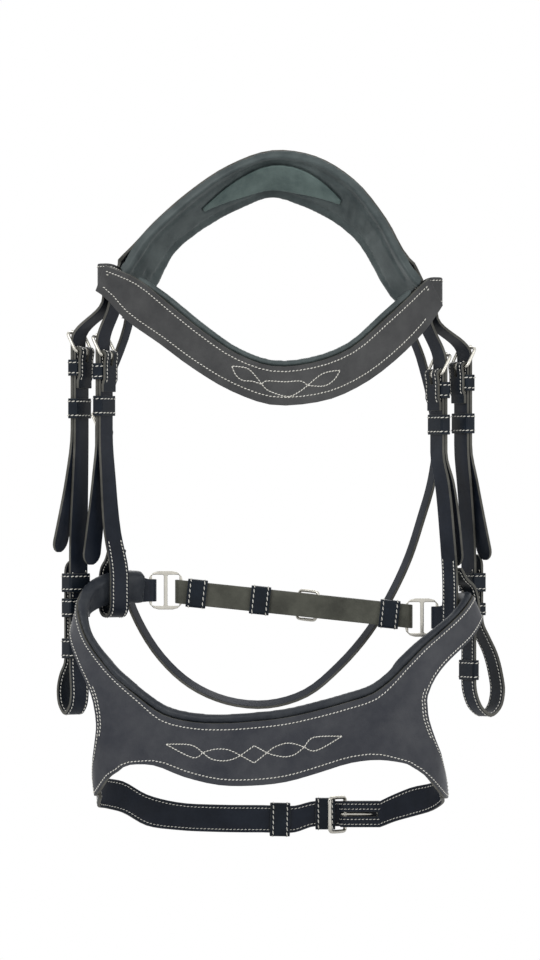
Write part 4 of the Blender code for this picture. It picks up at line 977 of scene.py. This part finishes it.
def paper_look():
    """White studio paper. Away from the bridle it fades into the white background."""
    material, shader, place = finish_of("studio paper")
    tree = material.node_tree
    mottled_colour(material, place, 3.0, (0.80, 0.80, 0.80), (0.84, 0.84, 0.84), shader.inputs["Base Color"])
    shader.inputs["Roughness"].default_value = 0.9
    glow = texture(material, "ShaderNodeEmission", Strength=1.0)
    path = texture(material, "ShaderNodeLightPath")
    reach = texture(material, "ShaderNodeVectorMath", operation="LENGTH")
    fade = texture(material, "ShaderNodeMapRange", interpolation_type="SMOOTHSTEP")
    fade.inputs["From Min"].default_value = FADE_START
    fade.inputs["From Max"].default_value = FADE_END
    both = texture(material, "ShaderNodeMath", operation="MULTIPLY")
    mix = texture(material, "ShaderNodeMixShader")
    flat = texture(material, "ShaderNodeMapping", Scale=(1.0, 1.0, 0.0))
    wire_up(material, place, flat.inputs["Vector"])
    wire_up(material, flat.outputs["Vector"], reach.inputs[0])
    wire_up(material, reach.outputs["Value"], fade.inputs["Value"])
    wire_up(material, fade.outputs["Result"], both.inputs[0])
    wire_up(material, path.outputs["Is Camera Ray"], both.inputs[1])
    wire_up(material, both.outputs["Value"], mix.inputs["Fac"])
    wire_up(material, shader.outputs["BSDF"], mix.inputs[1])
    wire_up(material, glow.outputs["Emission"], mix.inputs[2])
    wire_up(material, mix.outputs["Shader"], tree.nodes["Material Output"].inputs["Surface"])
    return material


floor_mesh = bmesh.new()
bmesh.ops.create_circle(floor_mesh, cap_ends=True, segments=64, radius=FLOOR_SIZE / 2)
bmesh.ops.translate(floor_mesh, vec=(0, 0, cad_box[0].z - FLOOR_DROP), verts=floor_mesh.verts)
floor_data = bpy.data.meshes.new("studio_floor")
floor_mesh.to_mesh(floor_data)
floor_mesh.free()
floor = bpy.data.objects.new("studio_floor", floor_data)
floor_data.materials.append(paper_look())
scene.collection.objects.link(floor)


def world_look():
    """Soft white light all round, and a clean white for the camera and in shiny things."""
    world = bpy.data.worlds.new("studio air")
    world.use_nodes = True
    tree = world.node_tree
    soft = tree.nodes["Background"]
    soft.inputs["Color"].default_value = (1.0, 1.0, 1.0, 1)
    soft.inputs["Strength"].default_value = 0.55
    clear = tree.nodes.new("ShaderNodeBackground")
    clear.inputs["Color"].default_value = (1.0, 1.0, 1.0, 1)
    clear.inputs["Strength"].default_value = 1.0
    path = tree.nodes.new("ShaderNodeLightPath")
    first = tree.nodes.new("ShaderNodeMath")
    second = tree.nodes.new("ShaderNodeMath")
    mix = tree.nodes.new("ShaderNodeMixShader")
    for node in (first, second):
        node.operation = "MAXIMUM"
    tree.links.new(path.outputs["Is Camera Ray"], first.inputs[0])
    tree.links.new(path.outputs["Is Glossy Ray"], first.inputs[1])
    tree.links.new(first.outputs["Value"], second.inputs[0])
    tree.links.new(path.outputs["Is Transmission Ray"], second.inputs[1])
    tree.links.new(second.outputs["Value"], mix.inputs["Fac"])
    tree.links.new(soft.outputs["Background"], mix.inputs[1])
    tree.links.new(clear.outputs["Background"], mix.inputs[2])
    tree.links.new(mix.outputs["Shader"], tree.nodes["World Output"].inputs["Surface"])
    scene.world = world


def panel_light(name, place, size, power):
    """A square soft panel that faces the bridle's middle."""
    lamp = bpy.data.lights.new(name, "AREA")
    lamp.shape = "SQUARE"
    lamp.size = size
    lamp.energy = power
    item = bpy.data.objects.new(name, lamp)
    item.location = place
    item.rotation_euler = (head_middle - Vector(place)).to_track_quat("-Z", "Y").to_euler()
    scene.collection.objects.link(item)
    return item


world_look()
panel_light("key_panel", (-1.3, -1.9, 1.3), 1.4, 24.0)
panel_light("fill_panel", (1.7, -1.5, 0.4), 1.4, 9.0)
panel_light("back_panel", (0.3, 1.9, 1.1), 1.2, 10.0)

camera = bpy.data.cameras.new("camera")
camera.sensor_fit = "VERTICAL"
camera.sensor_height = SENSOR
camera.lens = SENSOR * VIEW_DISTANCE / VIEW_HEIGHT
viewer = bpy.data.objects.new("camera", camera)
viewer.location = (0, -VIEW_DISTANCE, VIEW_LEVEL)
viewer.rotation_euler = (pi / 2, 0, 0)
scene.collection.objects.link(viewer)
scene.camera = viewer
scene.view_settings.view_transform = "Standard"
